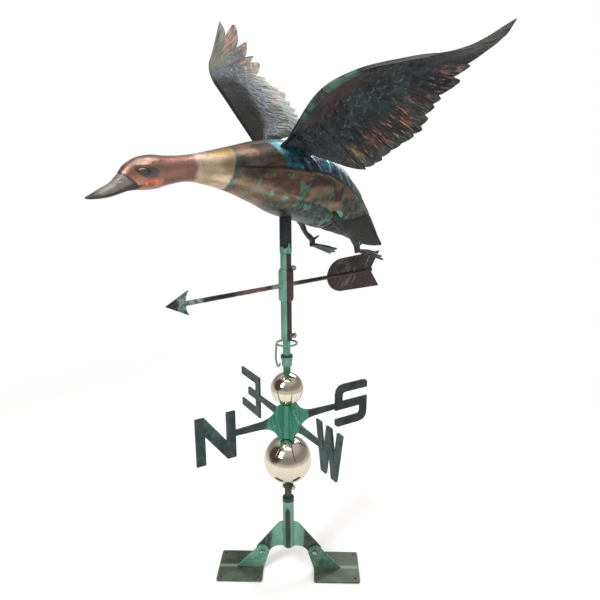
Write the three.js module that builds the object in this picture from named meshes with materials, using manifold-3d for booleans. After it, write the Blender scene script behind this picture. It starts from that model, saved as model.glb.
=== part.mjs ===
// Weathervane with a landing duck, arrow, compass letters, two balls and a ridge mount.
// Millimetres, +Z up. The spin axis is the Z axis, and the origin is the centre of the
// socket's lower end. The two foot plates lie along X.

import * as THREE from 'three';
import { mergeVertices } from 'three/addons/utils/BufferGeometryUtils.js';
import Module from 'manifold-3d';

const wasm = await Module();
wasm.setup();

// Fits
const touchGap = 0.3;
const runningGap = 0.35;

// Sides of a round piece
const roundSides = 20;

// Pole and ridge mount
const poleRadius = 7.95;
const socketHeight = 59.5;
const socketRadius = 12.8;
const socketTop = 175;
const socketFloor = 6;
const rimHeight = 13;
const rimLip = 0.6;
const bridgeTop = 121;
const bridgeThickness = 8;
const bridgeOffset = 1;
const bridgeLift = 0.5;
const pivotHeight = 47.5;
const pivotSpread = 61;
const pivotRadius = 15.5;
const boltRadius = 3.2;
const boltHeadRadius = 6;
const boltHeadHeight = 4.2;
const boltTail = 4;
const nutHeight = 5.4;
const footLength = 105;
const footWidth = 98;
const footOffset = -1.5;
const footThickness = 5;
const footInset = 1.5;
const footCorner = 5;
const earThickness = 5;
const earReach = 64;
const screwHoleRadius = 2.6;
const screwHoleInset = 10;

// Balls, collars and compass arms
const bigBallRadius = 54;
const smallBallRadius = 36;
const ballWall = 1;
const lowerCollarBottom = 214;
const lowerCollarHeight = 15;
const lowerCollarRadius = 12.5;
const hubRadius = 12.2;
const hubHeight = 79;
const armHeight = 15;
const armThickness = 5;
const armRootLand = 9;
const armFlare = 46;
const compassTurn = 32.5;
const letterHeight = 104;
const letterStroke = 20;
const southReach = 128;
const eastReach = 135;
const northReach = 125;
const westReach = 120;
const cupGap = 16;
const cupHeight = 16;
const cupRadius = 11.4;
const flangeRadius = 13;
const flangeHeight = 9;
const barePole = 33.1;

// Turning tube and arrow
const vaneHeading = 225;
const tubeRadius = 11.5;
const tubeLength = 186;
const stemRadius = 12.4;
const stemLength = 150;
const spigotLength = 46;
const sleeveRadius = 15.7;
const sleeveLength = 68;
const sleeveChamfer = 4;
const sleeveClearance = 2.3;
const shaftRadius = 4.6;
const shaftIntoHead = 8;
const arrowTip = 280;
const arrowTail = -279;
const arrowHeadLength = 46;
const arrowHeadSpan = 46;
const arrowHeadThickness = 4;
const vaneLength = 156;
const vaneRise = 42;
const vaneThickness = 3;
const vaneLean = 29;
const setScrewRadius = 3;
const setScrewHead = 5.6;
const setScrewHeadHeight = 5;
const longScrew = 20;
const shortScrew = 13;
const lowerScrewRise = 16;
const upperScrewDrop = 27;

// Safety wire round the foot of the turning tube
const wireRadius = 2.2;
const wireRingRadius = 22;

// Duck
const duckLength = 717;
const duckWall = 1.4;
const duckAboveStem = 5.7;
const wingSpan = 413;
const wingSheet = 1.5;
const wingEdge = 9;
const featherRelief = 2.6;
const wingBow = 10;
const wingTuck = 30;
const wingTuckDrop = 14;

// Heights and places that follow from the sizes above
const poleBottom = socketHeight + socketFloor;
const bigBallHeight = lowerCollarBottom + lowerCollarHeight + touchGap + bigBallRadius;
const hubBottom = bigBallHeight + bigBallRadius + touchGap;
const armLevel = hubBottom + hubHeight * 0.54;
const smallBallHeight = hubBottom + hubHeight + touchGap + smallBallRadius;
const cupBottom = smallBallHeight + smallBallRadius + cupGap;
const tubeBottom = cupBottom + cupHeight + flangeHeight + barePole;
const tubeTop = tubeBottom + tubeLength;
const upperScrewHeight = tubeTop - upperScrewDrop;
const arrowHeight = upperScrewHeight - setScrewRadius - sleeveClearance - sleeveLength / 2;
const poleTop = arrowHeight - shaftRadius - touchGap;
const stemTop = tubeTop + touchGap + stemLength;
const duckHeight = stemTop + duckAboveStem;
const boreRadius = poleRadius + runningGap;

const deg = THREE.MathUtils.degToRad;

// Colours and finishes
function finish(colour, roughness, metalness) {
  return new THREE.MeshStandardMaterial({ color: new THREE.Color(...colour), roughness, metalness });
}

const looks = {
  verdigris: finish([0.16, 0.38, 0.3], 0.6, 0.4),
  darkPatina: finish([0.07, 0.11, 0.1], 0.55, 0.5),
  nickel: finish([0.75, 0.72, 0.66], 0.12, 1),
  steel: finish([0.55, 0.54, 0.52], 0.35, 1),
  copper: finish([0.32, 0.17, 0.11], 0.4, 0.8),
  feather: finish([0.1, 0.11, 0.11], 0.45, 0.7),
  bronze: finish([0.09, 0.07, 0.07], 0.5, 0.6),
};

// Solids and their joins

function outward(geometry) {
  const flat = geometry.clone();
  flat.deleteAttribute('normal');
  flat.deleteAttribute('uv');
  const merged = mergeVertices(flat, 1e-4);
  const place = merged.getAttribute('position');
  const index = Array.from(merged.index.array);
  const a = new THREE.Vector3();
  const b = new THREE.Vector3();
  const c = new THREE.Vector3();
  const kept = [];
  let volume = 0;
  for (let i = 0; i < index.length; i += 3) {
    const [p, q, r] = index.slice(i, i + 3);
    if (p === q || q === r || p === r) continue;
    kept.push(p, q, r);
    a.fromBufferAttribute(place, p);
    b.fromBufferAttribute(place, q);
    c.fromBufferAttribute(place, r);
    volume += a.dot(b.cross(c));
  }
  if (volume < 0) kept.reverse();
  merged.setIndex(kept);
  return merged;
}

function toSolid(geometry) {
  const closed = outward(geometry);
  return new wasm.Manifold(new wasm.Mesh({
    numProp: 3,
    vertProperties: new Float32Array(closed.getAttribute('position').array),
    triVerts: new Uint32Array(closed.index.array),
  }));
}

function toGeometry(solid) {
  const mesh = solid.getMesh();
  const geometry = new THREE.BufferGeometry();
  geometry.setAttribute('position', new THREE.BufferAttribute(new Float32Array(mesh.vertProperties), 3));
  geometry.setIndex(Array.from(mesh.triVerts));
  return geometry;
}

function join(first, ...others) {
  return toGeometry(others.reduce((sum, piece) => sum.add(toSolid(piece)), toSolid(first)));
}

function cut(body, ...tools) {
  return toGeometry(tools.reduce((rest, tool) => rest.subtract(toSolid(tool)), toSolid(body)));
}

function named(name, geometry, material) {
  const mesh = new THREE.Mesh(outward(geometry), material);
  mesh.name = name;
  return mesh;
}

// A turned piece from a profile of [radius, height] pairs that closes on itself
function turned(profile, sides = roundSides) {
  const points = [...profile, profile[0]].map(([radius, height]) => new THREE.Vector2(radius, height));
  return new THREE.LatheGeometry(points, sides).rotateX(Math.PI / 2);
}

function ring(outer, inner, bottom, top, sides) {
  return turned([[inner, bottom], [outer, bottom], [outer, top], [inner, top]], sides);
}

function rod(radius, bottom, top, sides = roundSides) {
  return turned([[0, bottom], [radius, bottom], [radius, top], [0, top]], sides);
}

// A rod along an axis in the XY plane, from one distance to another
function crossRod(radius, from, to, turn, height, sides = 12) {
  return rod(radius, from, to, sides).rotateY(Math.PI / 2).rotateZ(deg(turn)).translate(0, 0, height);
}

// A plate standing in the XZ plane, its thickness centred on the given y
function standingPlate(outline, thickness, y = 0, curveSegments = 6) {
  const plate = new THREE.ExtrudeGeometry(outline, { depth: thickness, bevelEnabled: false, curveSegments });
  return plate.rotateX(Math.PI / 2).translate(0, y + thickness / 2, 0);
}

function outlineOf(points) {
  return new THREE.Shape(points.map(([x, z]) => new THREE.Vector2(x, z)));
}

function tubeAlong(points, radius, sides, steps) {
  const section = new THREE.Shape();
  section.absarc(0, 0, radius, 0, Math.PI * 2, false);
  const path = new THREE.CatmullRomCurve3(points.map((p) => new THREE.Vector3(...p)), false, 'centripetal');
  const settings = { steps, extrudePath: path, curveSegments: sides, bevelEnabled: false };
  return new THREE.ExtrudeGeometry(section, settings);
}

// Ridge mount: socket with a rim, and two arched arms that end in round eyes

function archOutline() {
  const reach = pivotSpread;
  const shape = new THREE.Shape();
  shape.moveTo(0, socketHeight + bridgeLift);
  shape.lineTo(reach * 0.42, socketHeight + bridgeLift);
  shape.quadraticCurveTo(reach * 0.66, socketHeight - 3, reach - pivotRadius * 0.9, pivotHeight - 6);
  shape.absarc(reach, pivotHeight, pivotRadius, deg(205), deg(48), false);
  shape.lineTo(reach * 0.5, bridgeTop - 12);
  shape.quadraticCurveTo(reach * 0.36, bridgeTop, socketRadius, bridgeTop);
  shape.lineTo(0, bridgeTop);
  return shape;
}

function roofMount() {
  const arm = standingPlate(archOutline(), bridgeThickness, bridgeOffset);
  const otherArm = arm.clone().scale(-1, 1, 1);
  const rimBottom = socketTop;
  const rimTop = socketTop + rimHeight;
  const socket = rod(socketRadius, socketHeight, socketTop);
  const rim = rod(socketRadius + rimLip, rimBottom - 0.5, rimTop);
  const bore = rod(poleRadius + touchGap, poleBottom - touchGap, rimTop + 1);
  const eyes = [-1, 1].map((side) => (
    standingRod(boltRadius + touchGap, side * pivotSpread, bridgeThickness * 2, bridgeOffset)
  ));
  return cut(join(socket, rim, arm, otherArm), bore, ...eyes);
}

// A rod along Y through the pivot height
function standingRod(radius, x, length, y, sides = 12) {
  return rod(radius, -length / 2, length / 2, sides).rotateX(Math.PI / 2).translate(x, y, pivotHeight);
}

// Foot: a plate with four screw holes and one upright ear, drawn for the side at +X

const earY = bridgeOffset - bridgeThickness / 2 - touchGap - earThickness / 2;

function footPlate() {
  const halfWidth = footWidth / 2;
  const shape = new THREE.Shape();
  shape.moveTo(footCorner, -halfWidth);
  shape.lineTo(footLength - footCorner, -halfWidth);
  shape.quadraticCurveTo(footLength, -halfWidth, footLength, footCorner - halfWidth);
  shape.lineTo(footLength, halfWidth - footCorner);
  shape.quadraticCurveTo(footLength, halfWidth, footLength - footCorner, halfWidth);
  shape.lineTo(footCorner, halfWidth);
  shape.quadraticCurveTo(0, halfWidth, 0, halfWidth - footCorner);
  shape.lineTo(0, footCorner - halfWidth);
  shape.quadraticCurveTo(0, -halfWidth, footCorner, -halfWidth);
  for (const x of [screwHoleInset, footLength - screwHoleInset]) {
    for (const y of [screwHoleInset - halfWidth, halfWidth - screwHoleInset]) {
      const hole = new THREE.Path();
      hole.absarc(x, y, screwHoleRadius, 0, Math.PI * 2, true);
      shape.holes.push(hole);
    }
  }
  return new THREE.ExtrudeGeometry(shape, { depth: footThickness, bevelEnabled: false, curveSegments: 4 });
}

function ear() {
  const shape = new THREE.Shape();
  shape.moveTo(pivotSpread - footInset, footThickness / 2);
  shape.lineTo(pivotSpread + earReach, footThickness / 2);
  shape.absarc(pivotSpread, pivotHeight, pivotRadius, deg(52), deg(188), false);
  return standingPlate(shape, earThickness, earY, 8);
}

function foot(side) {
  const plate = footPlate().translate(pivotSpread - footInset, footOffset, 0);
  const eye = standingRod(boltRadius + touchGap, pivotSpread, earThickness * 4, earY);
  return cut(join(plate, ear()), eye).scale(side, 1, 1);
}

function pivotBolt(side) {
  const front = earY - earThickness / 2 - touchGap;
  const back = bridgeOffset + bridgeThickness / 2 + touchGap;
  const start = front - boltHeadHeight / 2;
  const end = back + nutHeight + boltTail;
  const shank = standingRod(boltRadius, 0, end - start, (start + end) / 2);
  const head = standingRod(boltHeadRadius, 0, boltHeadHeight, front - boltHeadHeight / 2, 6);
  return join(head, shank).translate(side * pivotSpread, 0, 0);
}

function pivotNut(side) {
  const back = bridgeOffset + bridgeThickness / 2 + touchGap;
  const nut = cut(rod(boltHeadRadius, 0, nutHeight, 6), rod(boltRadius + touchGap, -1, nutHeight + 1, 12));
  return nut.rotateX(-Math.PI / 2).translate(side * pivotSpread, back, pivotHeight);
}

// Hollow ball with the pole running through it

function ball(radius, height) {
  const profile = [];
  const hole = poleRadius + touchGap;
  const outerStart = Math.acos(hole / radius);
  const innerStart = Math.acos(hole / (radius - ballWall));
  const outerSteps = 9;
  const innerSteps = 3;
  for (let i = 0; i <= outerSteps; i += 1) {
    const a = outerStart * (2 * i / outerSteps - 1);
    profile.push([radius * Math.cos(a), height + radius * Math.sin(a)]);
  }
  for (let i = innerSteps; i >= 0; i -= 1) {
    const a = innerStart * (2 * i / innerSteps - 1);
    profile.push([(radius - ballWall) * Math.cos(a), height + (radius - ballWall) * Math.sin(a)]);
  }
  return turned(profile);
}

// Compass arms: each one plate with a flared root and a letter at its end.
// A letter is drawn outward from its inner edge, with the height upward.

const letterOutlines = {
  north(height, stroke) {
    const width = height * 0.84;
    return outlineOf([
      [0, 0], [stroke, 0], [width - stroke, height * 0.6], [width - stroke, 0], [width, 0],
      [width, height], [width - stroke, height], [stroke, height * 0.4], [stroke, height], [0, height],
    ]);
  },
  east(height, stroke) {
    const width = height * 0.95;
    const bar = stroke * 0.95;
    const middle = (height - bar) / 2;
    return outlineOf([
      [0, 0], [width, 0], [width, bar], [stroke, bar], [stroke, middle], [width * 0.62, middle],
      [width * 0.62, middle + bar], [stroke, middle + bar], [stroke, height - bar], [width, height - bar],
      [width, height], [0, height],
    ]);
  },
  south(height, stroke) {
    const width = height * 0.88;
    const round = stroke * 1.2;
    const bend = stroke * 0.4;
    const lower = (height - stroke) / 2;
    const upper = (height + stroke) / 2;
    const shape = new THREE.Shape();
    shape.moveTo(width, height - stroke);
    shape.lineTo(width, height - stroke * 0.5);
    shape.quadraticCurveTo(width, height, width - stroke * 0.5, height);
    shape.lineTo(round, height);
    shape.quadraticCurveTo(0, height, 0, height - round);
    shape.lineTo(0, lower);
    shape.lineTo(width - stroke, lower);
    shape.lineTo(width - stroke, stroke + bend);
    shape.quadraticCurveTo(width - stroke, stroke, width - stroke - bend, stroke);
    shape.lineTo(0, stroke);
    shape.lineTo(0, stroke * 0.5);
    shape.quadraticCurveTo(0, 0, stroke * 0.5, 0);
    shape.lineTo(width - round, 0);
    shape.quadraticCurveTo(width, 0, width, round);
    shape.lineTo(width, upper);
    shape.lineTo(stroke, upper);
    shape.lineTo(stroke, height - stroke - bend);
    shape.quadraticCurveTo(stroke, height - stroke, stroke + bend, height - stroke);
    return shape;
  },
  west(height, stroke) {
    const width = height * 0.86;
    const half = stroke * 0.42;
    const [left, right] = [width * 0.3, width * 0.7];
    return outlineOf([
      [0, height], [left - half, 0], [left + half, 0], [width / 2, height * 0.55], [right - half, 0],
      [right + half, 0], [width, height], [width - half * 2, height], [right, height * 0.42],
      [width / 2 + half, height], [width / 2 - half, height], [left, height * 0.42], [half * 2, height],
    ]);
  },
};

const compass = [
  { name: 'arm_south', letter: 'south', turn: 0, inner: southReach },
  { name: 'arm_east', letter: 'east', turn: 90, inner: eastReach },
  { name: 'arm_north', letter: 'north', turn: 180, inner: northReach },
  { name: 'arm_west', letter: 'west', turn: 270, inner: westReach },
];

function armOutline(reach) {
  const root = hubRadius + touchGap;
  const land = root + armRootLand;
  const half = armHeight / 2;
  const top = hubBottom + hubHeight - armLevel;
  const bottom = hubBottom - armLevel;
  const shape = new THREE.Shape();
  shape.moveTo(root, bottom);
  shape.lineTo(land, bottom);
  shape.quadraticCurveTo(land + armFlare * 0.26, -half * 1.4, land + armFlare, -half * 1.1);
  shape.lineTo(reach, -half * 0.8);
  shape.lineTo(reach, half * 0.8);
  shape.lineTo(land + armFlare * 0.9, half * 1.1);
  shape.quadraticCurveTo(land + armFlare * 0.24, half * 1.6, land, top);
  shape.lineTo(root, top);
  return shape;
}

function compassArm({ letter, turn, inner }) {
  const arm = standingPlate(armOutline(inner + letterStroke * 0.5), armThickness);
  const drop = letterHeight * 0.515;
  const sign = standingPlate(letterOutlines[letter](letterHeight, letterStroke), armThickness, 0, 3);
  const plate = join(arm, sign.translate(inner, 0, -drop));
  return plate.rotateZ(deg(compassTurn + turn)).translate(0, 0, armLevel);
}

// A screw with a six-sided head, its tip at the given distance from the axis
function setScrew(tip, { turn, height, length }) {
  const end = tip + length;
  const shank = crossRod(setScrewRadius, tip, end, turn, height);
  return join(shank, crossRod(setScrewHead, end - setScrewHeadHeight, end, turn, height, 6));
}

function screwHole(reach, { turn, height }) {
  return crossRod(setScrewRadius + touchGap, 0, reach, turn, height);
}

const screws = {
  collar: { turn: -50, height: lowerCollarBottom + lowerCollarHeight * 0.4, length: shortScrew },
  hub: { turn: compassTurn - 45, height: armLevel - 4, length: shortScrew },
  lower: { turn: -50, height: tubeBottom + lowerScrewRise, length: longScrew },
  upper: { turn: -50, height: upperScrewHeight, length: longScrew },
};

// Collar with a flange under the turning tube
function lockCollar() {
  const top = cupBottom + cupHeight;
  const inner = poleRadius + touchGap;
  return turned([
    [inner, cupBottom], [cupRadius - 1, cupBottom], [cupRadius, cupBottom + 6], [cupRadius, top],
    [flangeRadius, top], [flangeRadius, top + flangeHeight], [inner, top + flangeHeight],
  ]);
}

// Wire ring that hangs round the turning tube and hooks under the collar
function safetyWire() {
  const level = tubeBottom - 7;
  const points = [];
  const steps = 22;
  for (let i = 0; i <= steps; i += 1) {
    const a = deg(190 + 330 * i / steps);
    points.push([wireRingRadius * Math.cos(a), wireRingRadius * Math.sin(a), level]);
  }
  const out = -wireRingRadius;
  points.unshift(
    [-cupRadius - wireRadius - touchGap, -6, cupBottom + 7],
    [out + 3, -6, cupBottom + 1],
    [out - 1, -6, cupBottom + 18],
    [out, -5, level - 8],
  );
  return tubeAlong(points, wireRadius, 3, 28);
}

// Duck, drawn along +X with its back up. Lengths of the figure are shares of the duck's length.

const share = duckLength / 717;

// Stations from bill to tail: place along X, height, half width, half height, all across the spine
const bodyStations = [
  [400, -34, 2.5, 1.6], [391, -32.5, 9, 4], [374, -27.5, 13.5, 8], [357, -21.5, 14, 10.5],
  [342, -13, 15, 14.5], [328, -5, 19, 21], [310, 1.5, 23, 26], [287, 5, 25, 27],
  [263, 7.5, 22.5, 23.5], [226, 11, 21, 22],
  [194, 11.5, 25, 27], [158, 11, 33, 35], [122, 9.5, 45, 44.5], [88, 7, 57, 55], [50, 2.5, 66, 65],
  [10, -6, 70, 73], [-32, -14, 69, 76], [-75, -26, 64, 75], [-114, -42, 58, 69], [-147, -60, 53, 61],
  [-176, -80, 49, 53], [-202, -98, 45, 43], [-229, -120, 41, 31], [-254, -141, 37, 19], [-275, -158, 33, 5],
];

// Sides of each ring, and the stations that shape the hollow inside
const bodySides = 18;
const hollowStations = [5, 6, 8, 9, 10, 11, 12, 13, 15, 17, 19, 21, 23];

function bodyRing(station, slope, grow) {
  const [x, z, halfWidth, halfHeight] = station;
  const points = [];
  for (let i = 0; i < bodySides; i += 1) {
    const a = 2 * Math.PI * i / bodySides;
    const up = (halfHeight + grow) * Math.sin(a);
    const side = (halfWidth + grow) * Math.cos(a);
    points.push(new THREE.Vector3(x - up * Math.sin(slope), side, z + up * Math.cos(slope)));
  }
  return points;
}

function slopesOf(stations) {
  return stations.map((station, i) => {
    const before = stations[Math.max(i - 1, 0)];
    const after = stations[Math.min(i + 1, stations.length - 1)];
    return Math.atan2(before[1] - after[1], before[0] - after[0]);
  });
}

// Closed skin through rings of points, with a fan at each end
function skin(rings) {
  const sides = rings[0].length;
  const place = [];
  const index = [];
  rings.forEach((points) => points.forEach((p) => place.push(p.x, p.y, p.z)));
  for (let r = 0; r + 1 < rings.length; r += 1) {
    for (let i = 0; i < sides; i += 1) {
      const a = r * sides + i;
      const b = r * sides + (i + 1) % sides;
      index.push(a, b, b + sides, a, b + sides, a + sides);
    }
  }
  for (const [r, flip] of [[0, true], [rings.length - 1, false]]) {
    const centre = rings[r].reduce((sum, p) => sum.add(p), new THREE.Vector3()).divideScalar(sides);
    place.push(centre.x, centre.y, centre.z);
    const middle = place.length / 3 - 1;
    for (let i = 0; i < sides; i += 1) {
      const a = r * sides + i;
      const b = r * sides + (i + 1) % sides;
      index.push(...(flip ? [b, a, middle] : [a, b, middle]));
    }
  }
  const geometry = new THREE.BufferGeometry();
  geometry.setAttribute('position', new THREE.Float32BufferAttribute(place, 3));
  geometry.setIndex(index);
  return geometry;
}

function duckForm(grow = 0, kept = bodyStations.keys()) {
  const scaled = bodyStations.map((station) => station.map((value) => value * share));
  const slopes = slopesOf(scaled);
  const rings = Array.from(kept, (i) => bodyRing(scaled[i], slopes[i], grow));
  return skin(rings).translate(0, 0, duckHeight);
}

function duckBody() {
  const hollow = duckForm(-duckWall, hollowStations);
  const stemHole = rod(stemRadius + touchGap, tubeTop, stemTop);
  return cut(duckForm(), hollow, stemHole);
}

// Wing: a formed sheet, drawn flat with its span and chord and then bowed by the depth of its edges

const frontEdge = [[0, 0, 0], [93, 46, -12], [174, 57, 0], [258, 43, 18], [337, 18, 27], [413, 0, 0]];
const rearEdge = [
  [16, -60, -4], [80, -145, 4], [128, -145, 4], [202, -127, 3], [257, -88, 5], [338, -58, -12],
  [394, -30, -10], [413, 0, 0],
];
const wingRows = [0, 0.1, 0.34, 0.68, 1];
const wristShare = 0.66;
const columnPitch = 0.045;
const tipRounding = 0.7;

// Feathers along the rear edge from the root out. Each goes from the notch at its inner side to its tip,
// with the place along the span and the reach across the chord for both.
const leftFeathers = [
  [0, 1, 0.164, 0.987], [0.172, 0.937, 0.232, 0.976], [0.242, 0.955, 0.282, 0.99],
  [0.29, 0.948, 0.323, 0.965], [0.335, 0.941, 0.368, 0.965], [0.38, 0.945, 0.426, 0.98],
  [0.434, 0.944, 0.472, 1], [0.48, 0.948, 0.526, 0.983], [0.534, 0.916, 0.575, 0.962],
  [0.582, 0.909, 0.605, 0.951], [0.613, 0.891, 0.667, 0.98], [0.675, 0.859, 0.721, 0.933],
  [0.729, 0.866, 1, 1],
];
const rightFeathers = [
  [0, 1, 0.15, 0.97], [0.157, 0.92, 0.2, 0.97], [0.207, 0.92, 0.25, 0.97],
  [0.257, 0.91, 0.29, 0.97], [0.297, 0.9, 0.329, 0.98], [0.336, 0.89, 0.366, 0.944],
  [0.374, 0.86, 0.426, 0.987], [0.433, 0.859, 0.456, 0.926], [0.463, 0.8, 0.51, 0.941],
  [0.518, 0.834, 0.546, 0.912], [0.556, 0.7, 0.627, 1.04], [0.635, 0.777, 0.657, 0.948],
  [0.665, 0.738, 0.732, 0.951], [0.742, 0.67, 0.878, 1.1], [0.888, 0.72, 1, 1],
];
const wingPoses = {
  left: { side: 1, root: [37, 49, 64], rise: 28, pitch: 35, sweep: 5, feathers: leftFeathers },
  right: { side: -1, root: [40, 45, 70], rise: 45, pitch: 11, sweep: 13, feathers: rightFeathers },
};

function edgeCurve(points) {
  const k = wingSpan / 413;
  return new THREE.CatmullRomCurve3(points.map(([s, t, h]) => new THREE.Vector3(s * k, t * k, h * k)));
}

// Turns the wing's own span, chord and depth into the duck's frame
function wingPlacing({ root, rise, pitch, sweep }) {
  const own = new THREE.Matrix4().makeBasis(
    new THREE.Vector3(0, 1, 0),
    new THREE.Vector3(1, 0, 0),
    new THREE.Vector3(0, 0, -1),
  );
  const tilt = new THREE.Euler(deg(rise), deg(-pitch), deg(sweep), 'ZYX');
  const corner = new THREE.Vector3(...root).multiplyScalar(share);
  return new THREE.Matrix4().makeRotationFromEuler(tilt).setPosition(corner).multiply(own);
}

// Middle of the sheet at a place along the span and across the chord, both from 0 to 1
function wingPoint(front, rear, along, over) {
  const point = front.getPoint(along * wristShare).lerp(rear.getPoint(along), over);
  const wrist = front.getPoint(wristShare);
  const straight = wrist.clone().lerp(rear.getPoint(1), over);
  const hand = front.getPoint(wristShare + (1 - wristShare) * Math.min(over, 1));
  point.add(hand.sub(straight).multiplyScalar(along ** 4));
  point.z -= wingBow * Math.sin(Math.PI * over) * (1 - along ** 4);
  return point;
}

// Columns of the sheet, the first of them tucked into the duck's side
function wingColumns(feathers) {
  const columns = [{ along: 0, reach: feathers[0][1], lap: -0.5, tuck: wingTuck }];
  for (const [inner, notch, outer, tip] of feathers) {
    const steps = Math.max(1, Math.round((outer - inner) / columnPitch));
    for (let i = 0; i <= steps; i += 1) {
      const u = i / steps;
      const along = inner + (outer - inner) * u;
      columns.push({ along, reach: notch + (tip - notch) * u ** tipRounding, lap: u - 0.5, tuck: 0 });
    }
  }
  return columns;
}

function wingColumn(front, rear, { along, reach, lap, tuck }, face) {
  return wingRows.map((row) => {
    const point = wingPoint(front, rear, along, row * reach);
    const half = Math.max(wingSheet, wingEdge * (1 - row * 6)) / 2;
    point.z += face * half + (half - wingSheet / 2) * 0.6 - featherRelief * row * lap;
    point.x -= tuck;
    point.z += tuck > 0 ? wingTuckDrop : 0;
    return point;
  });
}

function wingGrid(pose, face) {
  const front = edgeCurve(frontEdge);
  const rear = edgeCurve(rearEdge);
  const placing = wingPlacing(pose);
  return wingColumns(pose.feathers).map((column) => (
    wingColumn(front, rear, column, face).map((point) => point.applyMatrix4(placing))
  ));
}

// Closed sheet from a lower and an upper grid of points
function sheet([lower, upper]) {
  const columns = lower.length;
  const rows = lower[0].length;
  const place = [];
  const index = [];
  [...lower, ...upper].forEach((column) => column.forEach((p) => place.push(p.x, p.y, p.z)));
  const at = (face, j, i) => face * columns * rows + j * rows + i;
  const quad = (a, b, c, d) => index.push(a, b, c, a, c, d);
  for (let j = 0; j + 1 < columns; j += 1) {
    for (let i = 0; i + 1 < rows; i += 1) {
      quad(at(0, j, i), at(0, j, i + 1), at(0, j + 1, i + 1), at(0, j + 1, i));
      quad(at(1, j, i), at(1, j + 1, i), at(1, j + 1, i + 1), at(1, j, i + 1));
    }
    quad(at(0, j, 0), at(0, j + 1, 0), at(1, j + 1, 0), at(1, j, 0));
    quad(at(0, j, rows - 1), at(1, j, rows - 1), at(1, j + 1, rows - 1), at(0, j + 1, rows - 1));
  }
  for (let i = 0; i + 1 < rows; i += 1) {
    quad(at(0, 0, i), at(1, 0, i), at(1, 0, i + 1), at(0, 0, i + 1));
    quad(at(0, columns - 1, i), at(0, columns - 1, i + 1), at(1, columns - 1, i + 1), at(1, columns - 1, i));
  }
  const geometry = new THREE.BufferGeometry();
  geometry.setAttribute('position', new THREE.Float32BufferAttribute(place, 3));
  geometry.setIndex(index);
  return geometry;
}

function wing(pose) {
  const formed = sheet([wingGrid(pose, -1), wingGrid(pose, 1)]);
  return cut(formed.scale(1, pose.side, 1).translate(0, 0, duckHeight), duckForm(touchGap));
}

// Legs that trail behind: a tapering thigh and shank, a spur and a webbed foot.
// Joints are x, y, z and radius, all for a leg on the left.

const legPoses = {
  left: {
    side: 1,
    joints: [[-82, 38, -64, 12], [-110, 47, -100, 12.5], [-124, 53, -112, 7], [-138, 57, -128, 5.5],
      [-151, 62, -149, 7], [-149, 62, -163, 4]],
    spur: [[-150, 62, -148, 4], [-168, 62, -145, 2]],
    sole: [-150, 62, -158],
    droop: 14,
    reach: 92,
  },
  right: {
    side: -1,
    joints: [[-70, 45, -80, 12], [-84, 49, -93, 8], [-98, 53, -108, 6.5], [-112, 56, -126, 5.5],
      [-138, 62, -145, 7], [-134, 62, -158, 4]],
    spur: [[-139, 62, -144, 4], [-160, 62, -136, 2]],
    sole: [-136, 62, -154],
    droop: 17,
    reach: 84,
  },
};
const soleRoll = 34;
const webThickness = 2;

// A tapering limb through joints of x, y, z and radius
function limb(joints, sides) {
  const centres = joints.map(([x, y, z]) => new THREE.Vector3(x, y, z).multiplyScalar(share));
  const rings = joints.map(([, , , radius], i) => {
    const next = centres[Math.min(i + 1, centres.length - 1)];
    const ahead = next.clone().sub(centres[Math.max(i - 1, 0)]).normalize();
    const across = new THREE.Vector3(0, 1, 0).cross(ahead).normalize();
    const up = ahead.clone().cross(across);
    return Array.from({ length: sides }, (_, k) => {
      const a = 2 * Math.PI * k / sides;
      const out = across.clone().multiplyScalar(Math.cos(a)).addScaledVector(up, Math.sin(a));
      return centres[i].clone().addScaledVector(out, radius * share);
    });
  });
  return skin(rings);
}

// Webbed foot pointing along +X from the heel, with three toes
function webbedFoot(reach) {
  const spread = reach * 0.14;
  const toes = [[0.92, -1], [1, 0], [0.92, 1]].map(([length, out]) => (
    [reach * length, spread * out]
  ));
  const web = new THREE.Shape();
  web.moveTo(0, -4);
  toes.forEach(([x, y], i) => {
    if (i > 0) web.lineTo(x - reach * 0.08, y - spread / 2);
    web.lineTo(x - 2, y);
  });
  web.lineTo(0, 4);
  const plate = new THREE.ExtrudeGeometry(web, { depth: webThickness, bevelEnabled: false });
  plate.scale(share, share, 1).translate(0, 0, -webThickness / 2);
  const bones = toes.map(([x, y]) => limb([[-3, 0, 0, 3.6], [x * 0.55, y * 0.6, 1, 3], [x, y, -1, 1.6]], 4));
  return join(plate, ...bones);
}

function leg({ side, joints, spur, sole, droop, reach }) {
  const place = new THREE.Vector3(...sole).multiplyScalar(share);
  const foot = webbedFoot(reach).rotateZ(Math.PI).rotateX(-deg(soleRoll)).rotateY(-deg(droop));
  const whole = join(limb(joints, 6), limb(spur, 4), foot.translate(place.x, place.y, place.z));
  return cut(whole.scale(1, side, 1).translate(0, 0, duckHeight), duckForm(touchGap));
}

// Arrow: shaft through the sleeve, a barbed head and two feathers

function arrowShaft() {
  return crossRod(shaftRadius, arrowTail, arrowTip - arrowHeadLength + shaftIntoHead, 0, arrowHeight);
}

function shaftHole(gap) {
  const front = arrowTip - arrowHeadLength + shaftIntoHead + gap;
  return crossRod(shaftRadius + gap, arrowTail - 10, front, 0, arrowHeight);
}

function arrowHead() {
  const back = arrowTip - arrowHeadLength;
  const half = arrowHeadSpan / 2;
  const shape = new THREE.Shape();
  shape.moveTo(arrowTip, 0);
  shape.lineTo(back, half);
  shape.quadraticCurveTo(back + 8, half * 0.5, back + 6, 0);
  shape.quadraticCurveTo(back + 8, -half * 0.5, back, -half);
  const plate = standingPlate(shape, arrowHeadThickness, 0, 4).translate(0, 0, arrowHeight);
  return cut(plate, shaftHole(touchGap));
}

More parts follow.
